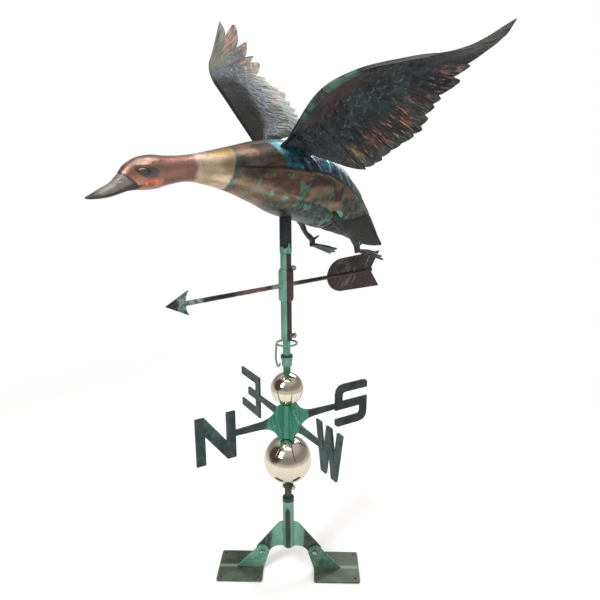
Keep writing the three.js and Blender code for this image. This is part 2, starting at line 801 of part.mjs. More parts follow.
function arrowFeather(side) {
  const back = arrowTail;
  const front = back + vaneLength - 1;
  const near = shaftRadius * 0.4;
  const shape = new THREE.Shape();
  shape.moveTo(back, near);
  shape.lineTo(back, near + 5);
  shape.lineTo(back - vaneLean, vaneRise * 1.04);
  shape.lineTo(front - vaneLength * 0.27, vaneRise * 0.9);
  shape.quadraticCurveTo(front - 6, vaneRise * 0.75, front, near);
  const plate = standingPlate(shape, vaneThickness, 0, 6).scale(1, 1, side).translate(0, 0, arrowHeight);
  return cut(plate, shaftHole(touchGap));
}

// Turning tube, sleeve and duck stem

function turningTube() {
  const tube = ring(tubeRadius, boreRadius, tubeBottom, tubeTop);
  const holes = [screws.lower, screws.upper].map(({ turn, height }) => (
    screwHole(tubeRadius * 2, { turn: turn - vaneHeading, height })
  ));
  return cut(tube, shaftHole(touchGap), ...holes);
}

function sleeve() {
  const inner = tubeRadius + touchGap;
  const bottom = arrowHeight - sleeveLength / 2;
  const top = arrowHeight + sleeveLength / 2;
  const narrow = sleeveRadius - sleeveChamfer * 0.6;
  const profile = [
    [inner, bottom], [narrow, bottom], [sleeveRadius, bottom + sleeveChamfer],
    [sleeveRadius, top - sleeveChamfer], [narrow, top], [inner, top],
  ];
  return cut(turned(profile), shaftHole(touchGap));
}

function duckStem() {
  const spigot = boreRadius - touchGap;
  const shoulder = tubeTop + touchGap;
  return turned([
    [0, tubeTop - spigotLength], [spigot, tubeTop - spigotLength], [spigot, shoulder], [stemRadius, shoulder],
    [stemRadius, stemTop], [0, stemTop],
  ]);
}

// Assembly

function buildStand() {
  const stand = new THREE.Group();
  stand.add(named('roof_mount', roofMount(), looks.verdigris));
  for (const [label, side] of [['left', -1], ['right', 1]]) {
    stand.add(named(`${label}_foot`, foot(side), looks.darkPatina));
    stand.add(named(`${label}_pivot_bolt`, pivotBolt(side), looks.steel));
    stand.add(named(`${label}_pivot_nut`, pivotNut(side), looks.steel));
  }
  stand.add(named('pole', rod(poleRadius, poleBottom, poleTop), looks.darkPatina));
  const collarBore = poleRadius + touchGap;
  const collarTop = lowerCollarBottom + lowerCollarHeight;
  const collar = ring(lowerCollarRadius, collarBore, lowerCollarBottom, collarTop);
  const collarHole = screwHole(lowerCollarRadius * 2, screws.collar);
  stand.add(named('lower_collar', cut(collar, collarHole), looks.darkPatina));
  stand.add(named('big_ball', ball(bigBallRadius, bigBallHeight), looks.nickel));
  const hub = ring(hubRadius, collarBore, hubBottom, hubBottom + hubHeight);
  const hubHole = screwHole(hubRadius * 2, screws.hub);
  stand.add(named('compass_hub', cut(hub, hubHole), looks.verdigris));
  for (const arm of compass) {
    stand.add(named(arm.name, compassArm(arm), looks.darkPatina));
  }
  stand.add(named('small_ball', ball(smallBallRadius, smallBallHeight), looks.nickel));
  stand.add(named('lock_collar', lockCollar(), looks.verdigris));
  stand.add(named('safety_wire', safetyWire(), looks.verdigris));
  const tip = poleRadius + touchGap;
  stand.add(named('collar_screw', setScrew(tip, screws.collar), looks.steel));
  stand.add(named('hub_screw', setScrew(tip, screws.hub), looks.steel));
  return stand;
}

function buildVane() {
  const vane = new THREE.Group();
  vane.rotation.z = deg(vaneHeading);
  vane.add(named('turning_tube', turningTube(), looks.verdigris));
  vane.add(named('arrow_sleeve', sleeve(), looks.verdigris));
  vane.add(named('arrow_shaft', arrowShaft(), looks.bronze));
  vane.add(named('arrow_head', arrowHead(), looks.bronze));
  vane.add(named('arrow_feather_upper', arrowFeather(1), looks.bronze));
  vane.add(named('arrow_feather_lower', arrowFeather(-1), looks.bronze));
  vane.add(named('duck_stem', duckStem(), looks.darkPatina));
  vane.add(named('duck_body', duckBody(), looks.copper));
  for (const [label, pose] of Object.entries(wingPoses)) {
    vane.add(named(`${label}_wing`, wing(pose), looks.feather));
  }
  for (const [label, pose] of Object.entries(legPoses)) {
    vane.add(named(`${label}_leg`, leg(pose), looks.bronze));
  }
  for (const place of ['lower', 'upper']) {
    const screw = { ...screws[place], turn: screws[place].turn - vaneHeading };
    vane.add(named(`${place}_tube_screw`, setScrew(boreRadius + touchGap, screw), looks.steel));
  }
  return vane;
}

const weathervane = new THREE.Group();
weathervane.position.z = -socketHeight;
weathervane.add(buildStand(), buildVane());

export default weathervane;
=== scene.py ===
"""Weathervane: patinated copper duck over an arrow, compass letters, two balls and a ridge mount.

Sizes are in millimetres here and are turned into metres where meshes are made.
"""

import math

import bmesh
import bpy
import numpy as np
from mathutils import Matrix, Vector


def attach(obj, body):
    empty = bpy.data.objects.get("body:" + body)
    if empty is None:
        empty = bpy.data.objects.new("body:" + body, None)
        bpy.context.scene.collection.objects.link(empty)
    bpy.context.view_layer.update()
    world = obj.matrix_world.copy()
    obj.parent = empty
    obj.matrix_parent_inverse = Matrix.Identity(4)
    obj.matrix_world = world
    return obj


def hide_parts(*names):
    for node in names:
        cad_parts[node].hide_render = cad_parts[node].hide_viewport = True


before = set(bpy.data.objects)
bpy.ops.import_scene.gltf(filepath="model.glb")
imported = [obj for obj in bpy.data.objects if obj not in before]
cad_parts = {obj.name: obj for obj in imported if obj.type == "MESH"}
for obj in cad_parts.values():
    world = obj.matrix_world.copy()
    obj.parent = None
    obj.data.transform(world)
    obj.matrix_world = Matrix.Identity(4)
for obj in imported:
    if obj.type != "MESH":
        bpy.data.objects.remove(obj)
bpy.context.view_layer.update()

MM = 0.001
SOCKET_HEIGHT = 59.5
FLOOR = -SOCKET_HEIGHT
HEADING = math.radians(225)
DUCK_HEIGHT = 905 - SOCKET_HEIGHT
ARROW_Z = 682.7


# Node helpers


class Number:
    """Output of a shader node, so that math nodes can be written as plain arithmetic."""

    def __init__(self, nodes, socket):
        self.nodes = nodes
        self.socket = socket

    def __add__(self, other):
        return self.nodes.math("ADD", self, other)

    def __sub__(self, other):
        return self.nodes.math("SUBTRACT", self, other)

    def __rsub__(self, other):
        return self.nodes.math("SUBTRACT", other, self)

    def __mul__(self, other):
        return self.nodes.math("MULTIPLY", self, other)

    def __truediv__(self, other):
        return self.nodes.math("DIVIDE", self, other)

    def __abs__(self):
        return self.nodes.math("ABSOLUTE", self)

    __radd__ = __add__
    __rmul__ = __mul__


class Nodes:
    """Lays nodes into one tree."""

    def __init__(self, tree, coordinates):
        self.tree = tree
        self.place = self.node("ShaderNodeTexCoord", output=coordinates)

    def put(self, socket, value):
        if isinstance(value, Number):
            self.tree.links.new(value.socket, socket)
        elif isinstance(value, (tuple, list)) and len(value) == 3 and socket.type == "RGBA":
            socket.default_value = (*value, 1)
        else:
            socket.default_value = value

    def node(self, kind, inputs=(), output=0, **settings):
        made = self.tree.nodes.new(kind)
        for key, value in settings.items():
            setattr(made, key, value)
        for index, value in inputs:
            self.put(made.inputs[index], value)
        return Number(self, made.outputs[output])

    def math(self, operation, a, b=0.0):
        return self.node("ShaderNodeMath", [(0, a), (1, b)], operation=operation)

    def max(self, a, b):
        return self.math("MAXIMUM", a, b)

    def between(self, value, low, high, start=0.0, end=1.0):
        """Value that goes from low to high while the given one goes from start to end."""
        limits = [("From Min", start), ("From Max", end), ("To Min", low), ("To Max", high)]
        return self.node("ShaderNodeMapRange", [("Value", value), *limits])

    def ramp(self, value, low, high):
        """Soft step from 0 to 1."""
        limits = [("Value", value), ("From Min", low), ("From Max", high)]
        return self.node("ShaderNodeMapRange", limits, interpolation_type="SMOOTHSTEP")

    def mix(self, factor, a, b):
        return self.node("ShaderNodeMix", [(0, factor), (6, a), (7, b)], output=2, data_type="RGBA")

    def band(self, value, start, full, end, out):
        """Mask that rises between the first two limits and falls between the last two."""
        return self.ramp(value, start, full) * self.ramp(value, out, end)

    def tones(self, value, low, high, a, b):
        """Colour that goes from one to another over a soft step."""
        return self.mix(self.ramp(value, low, high), a, b)

    def noise(self, scale, detail=5.0, rough=0.6, place=None, distort=0.0):
        inputs = [("Vector", place or self.place), ("Scale", scale), ("Detail", detail)]
        inputs += [("Roughness", rough), ("Distortion", distort)]
        return self.node("ShaderNodeTexNoise", inputs)

    def stretched(self, x=1.0, y=1.0, z=1.0, turn=0.0, place=None):
        inputs = [("Vector", place or self.place), ("Rotation", (0, 0, turn)), ("Scale", (x, y, z))]
        return self.node("ShaderNodeMapping", inputs)

    def turned(self, place, angle, axis):
        inputs = [("Vector", place), ("Angle", angle)]
        return self.node("ShaderNodeVectorRotate", inputs, rotation_type=axis)

    def parts(self, place=None):
        split = self.tree.nodes.new("ShaderNodeSeparateXYZ")
        self.put(split.inputs[0], place or self.place)
        return [Number(self, output) for output in split.outputs]

    def from_axis(self):
        x, y, _ = self.parts()
        return self.math("SQRT", x * x + y * y)


class Shade(Nodes):
    """Lays the nodes of one material."""

    def __init__(self, name):
        self.material = bpy.data.materials.new(name)
        self.material.use_nodes = True
        tree = self.material.node_tree
        tree.nodes.clear()
        super().__init__(tree, "Object")
        self.bsdf = tree.nodes.new("ShaderNodeBsdfPrincipled")
        out = tree.nodes.new("ShaderNodeOutputMaterial")
        tree.links.new(self.bsdf.outputs[0], out.inputs[0])

    def duck_place(self):
        return self.turned(self.place, -HEADING, "Z_AXIS")

    def streak_place(self, span, chord, fan):
        """Place for streaks that run down the length of each feather."""
        return self.node("ShaderNodeCombineXYZ", [(0, span * 150), (1, chord * 9), (2, fan * 3.7)])

    def attribute(self, name):
        return self.node("ShaderNodeAttribute", output=2, attribute_name=name)

    def bump(self, height, strength, distance):
        return self.node(
            "ShaderNodeBump", [("Strength", strength), ("Distance", distance), ("Height", height)]
        )

    def finish(self, colour, rough, metal, normal=None, specular=0.5):
        self.put(self.bsdf.inputs["Base Color"], colour)
        self.put(self.bsdf.inputs["Roughness"], rough)
        self.put(self.bsdf.inputs["Metallic"], metal)
        self.put(self.bsdf.inputs["Specular IOR Level"], specular)
        if normal is not None:
            self.put(self.bsdf.inputs["Normal"], normal)
        return self.material


GREEN_PALE = (0.155, 0.36, 0.265)
GREEN = (0.085, 0.225, 0.16)
GREEN_DEEP = (0.03, 0.085, 0.062)
ARM_GREENS = ((0.035, 0.17, 0.12), (0.085, 0.32, 0.225))
SOOT = (0.012, 0.024, 0.02)
UMBER = (0.032, 0.019, 0.02)
SLATE = (0.016, 0.028, 0.028)
SLATE_PALE = (0.052, 0.088, 0.084)


def verdigris(name, dark=None, dark_colour=UMBER, lightness=0.5, greens=(GREEN, GREEN_PALE)):
    """Green patina with drips, and a darker side where a mask says so."""
    s = Shade(name)
    cloud = s.noise(30, 6, 0.65)
    drips = s.noise(1, 5, 0.6, place=s.stretched(150, 150, 9))
    tone = cloud * 0.6 + drips * 0.5
    green = s.tones(tone, 0.42, 0.42 + lightness * 0.5, *greens)
    specks = s.ramp(s.noise(190, 3, 0.7), 0.62, 0.72)
    green = s.mix(specks * 0.5, green, GREEN_DEEP)
    if dark is not None:
        # darker colour where the mask says so
        edge = dark(s) + (drips - 0.5) * 0.9
        darker_tone = s.tones(cloud, 0.4, 0.7, dark_colour, tuple(c * 2.0 for c in dark_colour))
        green = s.tones(edge, 0.38, 0.62, green, darker_tone)
    rough = s.between(cloud, 0.42, 0.62)
    grain = s.noise(420, 3, 0.6) + cloud * 1.5
    return s.finish(green, rough, 0.25, s.bump(grain, 0.25, 0.0006))


def turn_mask(start, end):
    """Mask that is 1 between two directions round the spin axis, in degrees."""
    soft = 0.12

    def mask(s):
        x, y, _ = s.parts()
        turn = s.math("ARCTAN2", y, x)
        low, high = math.radians(start), math.radians(end)
        rising = s.ramp(turn, low - soft, low + soft)
        falling = s.ramp(turn, high + soft, high - soft)
        return rising * falling

    return mask


def dark_patina(name, green=None, dark=SLATE, light=SLATE_PALE, greens=(GREEN, GREEN_PALE)):
    """Grey-green to near black patina, with an optional green mask."""
    s = Shade(name)
    cloud = s.noise(22, 6, 0.65)
    streak = s.noise(1, 4, 0.6, place=s.stretched(260, 260, 40, 0.6))
    base = s.tones(cloud, 0.36, 0.66, dark, light)
    lines = s.noise(1, 4, 0.65, place=s.stretched(70, 70, 420, 0.6))
    base = s.mix(s.ramp(lines, 0.55, 0.7) * 0.45, base, tuple(c * 2.1 for c in light))
    base = s.mix(s.ramp(s.noise(90, 5, 0.7), 0.56, 0.68) * 0.7, base, dark)
    if green is not None:
        edge = green(s) + (cloud - 0.5) * 0.8
        tint = s.tones(streak, 0.4, 0.65, *greens)
        base = s.tones(edge, 0.35, 0.65, base, tint)
    rough = s.between(cloud, 0.38, 0.6)
    grain = s.noise(380, 3, 0.6) + streak
    return s.finish(base, rough, 0.3, s.bump(grain, 0.2, 0.0005), 0.3)


def near_axis(inner, outer):
    """Mask that is 1 near the spin axis and fades out between two distances."""

    def mask(s):
        return s.ramp(s.from_axis(), outer, inner)

    return mask


def polished(name):
    s = Shade(name)
    smear = s.noise(9, 4, 0.6)
    tint = s.tones(smear, 0.35, 0.7, (0.6, 0.54, 0.43), (0.68, 0.62, 0.51))
    rough = s.between(smear, 0.04, 0.10)
    return s.finish(tint, rough, 1.0, s.bump(s.noise(24, 2, 0.5), 0.05, 0.0008))


def bright_steel(name):
    s = Shade(name)
    wear = s.noise(240, 4, 0.6)
    tint = s.tones(wear, 0.4, 0.64, (0.16, 0.155, 0.14), (0.5, 0.49, 0.46))
    rough = s.between(wear, 0.2, 0.4)
    return s.finish(tint, rough, 1.0, s.bump(wear, 0.1, 0.0003))


def umber_bronze(name, lined=False, arrow=False, teal=0):
    """Near black brown patina for the arrow and the legs."""
    s = Shade(name)
    place = s.duck_place()
    cloud = s.noise(34, 6, 0.65)
    base = s.tones(cloud, 0.36, 0.66, (0.011, 0.009, 0.01), (0.042, 0.032, 0.033))
    tint = s.ramp(s.noise(26, 5, 0.7, distort=1.2), 0.58 - 0.14 * teal, 0.7 - 0.1 * teal)
    base = s.mix(tint * (0.6 + 0.2 * teal), base, (0.05, 0.085, 0.075))
    height = s.noise(300, 3, 0.6)
    if lined:
        across = s.turned(place, math.radians(38), "Y_AXIS")
        barbs = s.noise(1, 2, 0.5, place=s.stretched(700, 40, 14, place=across))
        patch = s.ramp(s.noise(24, 4, 0.6), 0.42, 0.6)
        scratch = s.ramp(barbs, 0.58, 0.66) * patch
        below = s.ramp(s.parts(place)[2], (ARROW_Z + FLOOR + 2) * MM, (ARROW_Z + FLOOR - 6) * MM)
        base = s.mix(below * 0.7, base, (0.04, 0.02, 0.023))
        base = s.mix(scratch * 0.85, base, (0.42, 0.38, 0.38))
        height = height + barbs * 3.0
    if arrow:
        fine = s.noise(120, 5, 0.7)
        x = s.parts(place)[0] + (cloud - 0.5) * 0.03
        rosy = s.band(x, 0.035, 0.06, 0.112, 0.142)
        base = s.mix(rosy, base, s.tones(fine, 0.42, 0.62, (0.075, 0.04, 0.04), (0.24, 0.125, 0.12)))
        green = s.tones(fine, 0.4, 0.6, (0.055, 0.11, 0.095), (0.25, 0.34, 0.305))
        behind_head = s.band(x, 0.198, 0.21, 0.254, 0.262)
        by_sleeve = s.band(x, -0.035, -0.024, 0.03, 0.06)
        where = s.max(behind_head, by_sleeve)
        base = s.mix(where * s.ramp(cloud, 0.3, 0.5), base, green)
    rough = s.between(cloud, 0.3, 0.5)
    return s.finish(base, rough, 0.45, s.bump(height, 0.25, 0.0006))


# Mesh helpers


def in_scene(name, data):
    made = bpy.data.objects.new(name, data)
    bpy.context.scene.collection.objects.link(made)
    return made


def smooth_object(name, points, faces, material, body, stands_for, slot, angle=40):
    """Makes a smooth-shaded mesh from points in millimetres and rides it on a body."""
    mesh = bpy.data.meshes.new(name)
    mesh.from_pydata((np.asarray(points, float) * MM).tolist(), [], [list(map(int, f)) for f in faces])
    mesh.update()
    mesh.polygons.foreach_set("use_smooth", [True] * len(mesh.polygons))
    mesh.set_sharp_from_angle(angle=math.radians(angle))
    made = in_scene(name, mesh)
    mesh.materials.append(material)
    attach(made, body)
    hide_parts(*stands_for)
    return made


def soften(made, width):
    """Rounds the sharp edges with a modifier; the mesh stays as it is."""
    edge = made.modifiers.new("soft_edges", "BEVEL")
    edge.width = width * MM
    edge.segments = 2
    edge.limit_method = "ANGLE"
    edge.angle_limit = math.radians(40)
    return made


def ring_faces(rings, sides, loop=False):
    """Quads between neighbouring rings of points; in a loop, also from the last ring to the first."""
    faces = []
    for i in range(rings if loop else rings - 1):
        j = (i + 1) % rings
        for k in range(sides):
            m = (k + 1) % sides
            faces.append((i * sides + k, i * sides + m, j * sides + m, j * sides + k))
    return faces


def tip_faces(rings, sides):
    """Triangles that close the first and the last ring with two points that follow the rings."""
    faces = []
    first, last = rings * sides, (rings - 1) * sides
    for k in range(sides):
        m = (k + 1) % sides
        faces.append((m, k, first))
        faces.append((last + k, last + m, first + 1))
    return faces


def slab_faces(columns, rows):
    """Faces of a closed slab made of two layers of points, each layer a grid of columns and rows."""

    def at(layer, j, i):
        return (layer * columns + j) * rows + i

    end, last = columns - 1, rows - 1
    faces = []
    for j in range(end):
        for i in range(last):
            faces.append((at(0, j, i), at(0, j, i + 1), at(0, j + 1, i + 1), at(0, j + 1, i)))
            faces.append((at(1, j, i), at(1, j + 1, i), at(1, j + 1, i + 1), at(1, j, i + 1)))
        faces.append((at(0, j, 0), at(0, j + 1, 0), at(1, j + 1, 0), at(1, j, 0)))
        faces.append((at(0, j, last), at(1, j, last), at(1, j + 1, last), at(0, j + 1, last)))
    for i in range(last):
        faces.append((at(0, 0, i), at(1, 0, i), at(1, 0, i + 1), at(0, 0, i + 1)))
        faces.append((at(0, end, i), at(0, end, i + 1), at(1, end, i + 1), at(1, end, i)))
    return faces


def turned(profile, sides=96):
    """Points and faces of a turned ring from a closed profile of radius and height."""
    angles = 2 * math.pi * np.arange(sides) / sides
    radius, height = np.array(profile, float).T[..., None]
    points = np.stack(
        [radius * np.cos(angles), radius * np.sin(angles), np.repeat(height, sides, axis=1)], axis=-1
    )
    return points.reshape(-1, 3), ring_faces(len(profile), sides, loop=True)


def ring_profile(inner, outer, bottom, top, soft=0.6):
    side = [(outer - soft, bottom), (outer, bottom + soft), (outer, top - soft), (outer - soft, top)]
    return [(inner, bottom), *side, (inner, top)]


def joined(*pieces):
    """Points and faces of several pieces as one."""
    points, faces, start = [], [], 0
    for p, f in pieces:
        points.append(np.asarray(p, float))
        faces += [tuple(i + start for i in face) for face in f]
        start += len(p)
    return np.concatenate(points), faces


def arc(centre, radius, start, end, steps):
    turns = np.radians(np.linspace(start, end, steps + 1))
    return [(centre[0] + radius * math.cos(t), centre[1] + radius * math.sin(t)) for t in turns]


def bird_to_row(points):
    c, s = math.cos(HEADING), math.sin(HEADING)
    p = np.asarray(points, float)
    return np.stack([c * p[..., 0] - s * p[..., 1], s * p[..., 0] + c * p[..., 1], p[..., 2]], axis=-1)


# Smooth curve through rows of numbers, sampled at shares of its length


def through(rows, shares):
    rows = np.array(rows, float)
    n = len(rows)
    ghost = np.vstack([2 * rows[0] - rows[1], rows, 2 * rows[-1] - rows[-2]])
    at = np.clip(np.asarray(shares, float), 0, 1) * (n - 1)
    k = np.minimum(at.astype(int), n - 2)
    t = (at - k)[:, None]
    p0, p1, p2, p3 = ghost[k], ghost[k + 1], ghost[k + 2], ghost[k + 3]
    bend, twist = 2 * p0 - 5 * p1 + 4 * p2 - p3, 3 * p1 - p0 - 3 * p2 + p3
    return 0.5 * (2 * p1 + (p2 - p0) * t + bend * t**2 + twist * t**3)


def bell(value, width):
    """1 at zero, fading out on both sides."""
    return np.exp(-((value / width) ** 2))


def step(value, low, high):
    t = np.clip((value - low) / (high - low), 0, 1)
    return t * t * (3 - 2 * t)


def lapped(along, across, sides_per_row, tip):
    """Height and edge of lapped feathers: rows along one number and feathers across the other."""
    column = np.floor(across * sides_per_row)
    x = across * sides_per_row - column - 0.5
    phase = along + 0.5 * (column % 2) + tip * 2 * x**2
    saw = phase - np.floor(phase)
    shaft = bell(x, 0.06) * 0.25
    return saw**1.6 - shaft, bell(1 - saw, 0.12)


# Duck body

# Sections from bill to tail: place along the duck, height, half width and half height
BODY = [
    [400, -34, 2.5, 1.6], [391, -32.5, 9, 4], [374, -27.5, 13.5, 8], [357, -21.5, 14, 10.5],
    [342, -13, 15, 14.5], [328, -5, 19, 21], [310, 1.5, 23, 26], [287, 5, 25, 27], [263, 7.5, 22.5, 23.5],
    [226, 11, 21, 22], [194, 11.5, 25, 27], [158, 11, 33, 35], [122, 9.5, 45, 44.5], [88, 7, 57, 55],
    [50, 2.5, 66, 65], [10, -6, 70, 73], [-32, -14, 69, 76], [-75, -26, 64, 75], [-114, -42, 58, 69],
    [-147, -60, 53, 61], [-176, -80, 49, 53], [-202, -98, 45, 43], [-229, -120, 41, 31],
    [-254, -141, 37, 19], [-275, -158, 33, 5],
]


def duck_surface(rows=330, sides=132):
    """Grid of points on the duck's skin, with the numbers that its relief and its colours use."""
    stations = np.array(BODY)
    gaps = np.hypot(np.diff(stations[:, 0]), np.diff(stations[:, 1]))
    reach = np.concatenate([[0], np.cumsum(gaps)])
    wanted = np.linspace(0, reach[-1], rows)
    shares = np.interp(wanted, reach, np.linspace(0, 1, len(BODY)))
    spine = through(BODY, shares)
    slope = np.arctan2(-np.gradient(spine[:, 1]), -np.gradient(spine[:, 0]))
    kernel = np.ones(9) / 9
    slope = np.convolve(np.pad(slope, 4, mode="edge"), kernel, mode="valid")
    turn = 2 * math.pi * np.arange(sides) / sides
    x, z, wide, high = spine.T
    up = high[:, None] * np.sin(turn)
    side = wide[:, None] * np.cos(turn)
    # the tail end flattens into a fan with a thin rim
    fan = step(-x, 190, 262)[:, None]
    up = up * (1 - 0.35 * fan * np.abs(np.cos(turn)) ** 4)
    points = np.stack([
        x[:, None] - up * np.sin(slope)[:, None],
        side,
        z[:, None] + up * np.cos(slope)[:, None],
    ], axis=-1)
    info = {
        "x": np.repeat(x[:, None], sides, 1),
        "lift": np.repeat(np.sin(turn)[None], rows, 0),
        "out": np.repeat(np.cos(turn)[None], rows, 0),
        "mm": np.repeat(wanted[:, None], sides, 1),
        "round": np.repeat((turn / (2 * math.pi))[None], rows, 0),
        "girth": np.repeat(np.maximum(wide, high)[:, None], sides, 1),
    }
    return points, info


def duck_relief(points, info):
    x, lift, out = info["x"], info["lift"], np.abs(info["out"])
    height = np.zeros_like(x)
    # seam where the two halves of the skin meet
    seam_at = np.interp(-x, [-138, -58, 0, 41, 106, 179], [0.09, 0.13, 0.2, 0.26, 0.31, 0.42])
    seam = bell((lift - seam_at) * info["girth"], 2.6) * step(-x, -150, -120) * step(x, -190, -160)
    height += 1.5 * seam
    # mask for painted highlights: pale glints just under the seam on its rear part; it adds no height
    lip = bell((lift - seam_at) * info["girth"] + 3.4, 1.5) * step(-x, -20, 10) * step(x, -190, -160)
    above = step(lift - seam_at, 0.0, 0.05)
    # bill: a raised face line, a mouth line and the two nostrils
    z = points[..., 2]
    face = x - (332.5 + 0.5 * (z + 8))
    groove = bell(face, 1.5)
    height -= 1.6 * groove
    mouth_z = np.interp(x, [318, 330, 345, 372, 398], [-17, -19, -23, -31, -35])
    mouth = bell(z - mouth_z, 1.1) * step(x, 314, 322) * step(out, 0.25, 0.5)
    height -= 1.3 * mouth
    nostril = bell(x - 346, 4) * bell(z + 9, 1.6) * step(out, 0.2, 0.5)
    height -= 1.2 * nostril
    # brow, cheek and the closed eye with its lids
    height += 1.4 * bell(x - 312, 15) * bell(z - 14, 4)
    height += 1.3 * bell(x - 296, 15) * bell(z + 9, 7)
    socket = np.hypot((x - 312) / 8.5, (z - 6) / 4.8)
    lids = bell(socket - 1, 0.2) * step(out, 0.5, 0.7)
    slit = bell(z - 4.6 - 0.02 * (x - 312) ** 2, 0.9) * step(np.abs(x - 312), 8, 6) * step(out, 0.5, 0.7)
    height += 1.5 * step(socket, 1.0, 0.35) * step(out, 0.5, 0.7) - 0.9 * lids - 0.9 * slit
    # round boss on the hip
    boss = np.hypot((x + 107) / 11, (z + 83) / 11)
    height += 5.0 * step(boss, 1.0, 0.25) * step(info["out"], 0.2, 0.5)
    # small round feathers that hang under the rump
    under = step(-lift, 0.72, 0.9) * step(x, -172, -160) * step(-x, 88, 100)
    height += 3.5 * under * np.abs(np.sin(info["mm"] / 21 * math.pi)) ** 0.6
    # long slanted feathers on the back, shorter ones on the flank and belly
    down = info["girth"] * (1 - lift)
    phase = (-x - 0.7 * down + 6 * np.sin(down / 15 + x / 23) + 4 * np.sin(x / 11 + info["out"] * 3)) / 31
    row = phase - np.floor(phase)
    back_mask = above * step(-x, -46, -32) * step(x, -200, -170)
    lapped_back = 1.3 * row**1.4
    edge_back = bell(row - 0.84, 0.17)
    flank_mask = step(-x, 30, 110) * (1 - step(lift, 0.25, 0.45)) * step(x, -225, -190)
    lapped_flank, edge_flank = lapped(info["mm"] / 30, info["round"], 20, 0.7)
    breast_mask = 0.22 * step(x, -20, 60) * (1 - step(x, 130, 180)) * (1 - step(lift, 0.5, 0.8))
    lapped_breast, _ = lapped(info["mm"] / 22, info["round"], 22, 0.7)
    flank_mask = flank_mask * (1 - above)
    height += 1.5 * back_mask * lapped_back + 0.8 * flank_mask * lapped_flank + breast_mask * lapped_breast
    # scalloped edge where the rump ends over the tail
    rump = bell(x + 45 * lift + 182 + 5 * np.abs(np.sin(info["out"] * 8)), 3.0)
    height -= 1.6 * rump
    # tail feathers run lengthways, lapped across the fan
    tail_mask = step(-x, 195, 235)
    blades = info["out"] * 5.0
    blade = blades - np.floor(blades)
    height += tail_mask * 1.6 * (blade - 0.5)
    return height, {
        "lift": lift, "above": above, "seam": seam, "lip": lip,
        "edge": edge_flank * flank_mask,
        "stroke": edge_back * back_mask,
        "tail": step(-x - 45 * lift, 176, 187),
        "face": np.clip(face / 3, 0, 1) * step(x, 290, 300),
        "mark": np.clip(groove * step(x, 300, 312) + 0.8 * lids + slit + mouth, 0, 1),
    }


def grid_normals(points):
    along = np.gradient(points, axis=0)
    across = (np.roll(points, -1, axis=1) - np.roll(points, 1, axis=1)) / 2
    normal = np.cross(along, across)
    size = np.linalg.norm(normal, axis=-1, keepdims=True)
    return normal / np.maximum(size, 1e-9)


def add_numbers(made, values):
    for name, numbers in values.items():
        layer = made.data.attributes.new(name, "FLOAT", "POINT")
        layer.data.foreach_set("value", np.asarray(numbers, np.float32).ravel())


def oval(s, x, z, at, size, noise, amount, far=1.15, near=0.7):
    """Mask of an oval spot with a ragged edge."""
    a = (x - at[0] * MM) / (size[0] * MM)
    b = (z - at[1] * MM) / (size[1] * MM)
    reach = a * a + b * b + (noise - 0.5) * amount
    return s.ramp(reach, far, near)


# Copper and dark places on the duck's side, and one painted highlight: middle, half size, strength and
# colour
COPPER_AND_HIGHLIGHT_SPOTS = [
    ((118, 42), (17, 11), 0.75, (0.3, 0.16, 0.09)), ((116, 20), (24, 6), 0.7, (0.09, 0.11, 0.1)),
    ((108, -28), (22, 8), 0.7, (0.32, 0.19, 0.15)), ((90, -8), (34, 6), 0.6, (0.07, 0.05, 0.032)),
    # painted highlight: the gold place at (-42, -33)
    ((-42, -33), (34, 10), 0.5, (0.27, 0.19, 0.11)), ((10, -28), (24, 7), 0.6, (0.25, 0.17, 0.1)),
    ((-60, -8), (30, 7), 0.6, (0.12, 0.07, 0.06)),
]
# Green places on the duck's side: middle and half size
GREEN_SPOTS = [
    ((150, -9), (6, 9)), ((79, -34), (9, 6)), ((43, -1), (7, 5)), ((47, -42), (6, 5)), ((-17, 8), (9, 5))
]


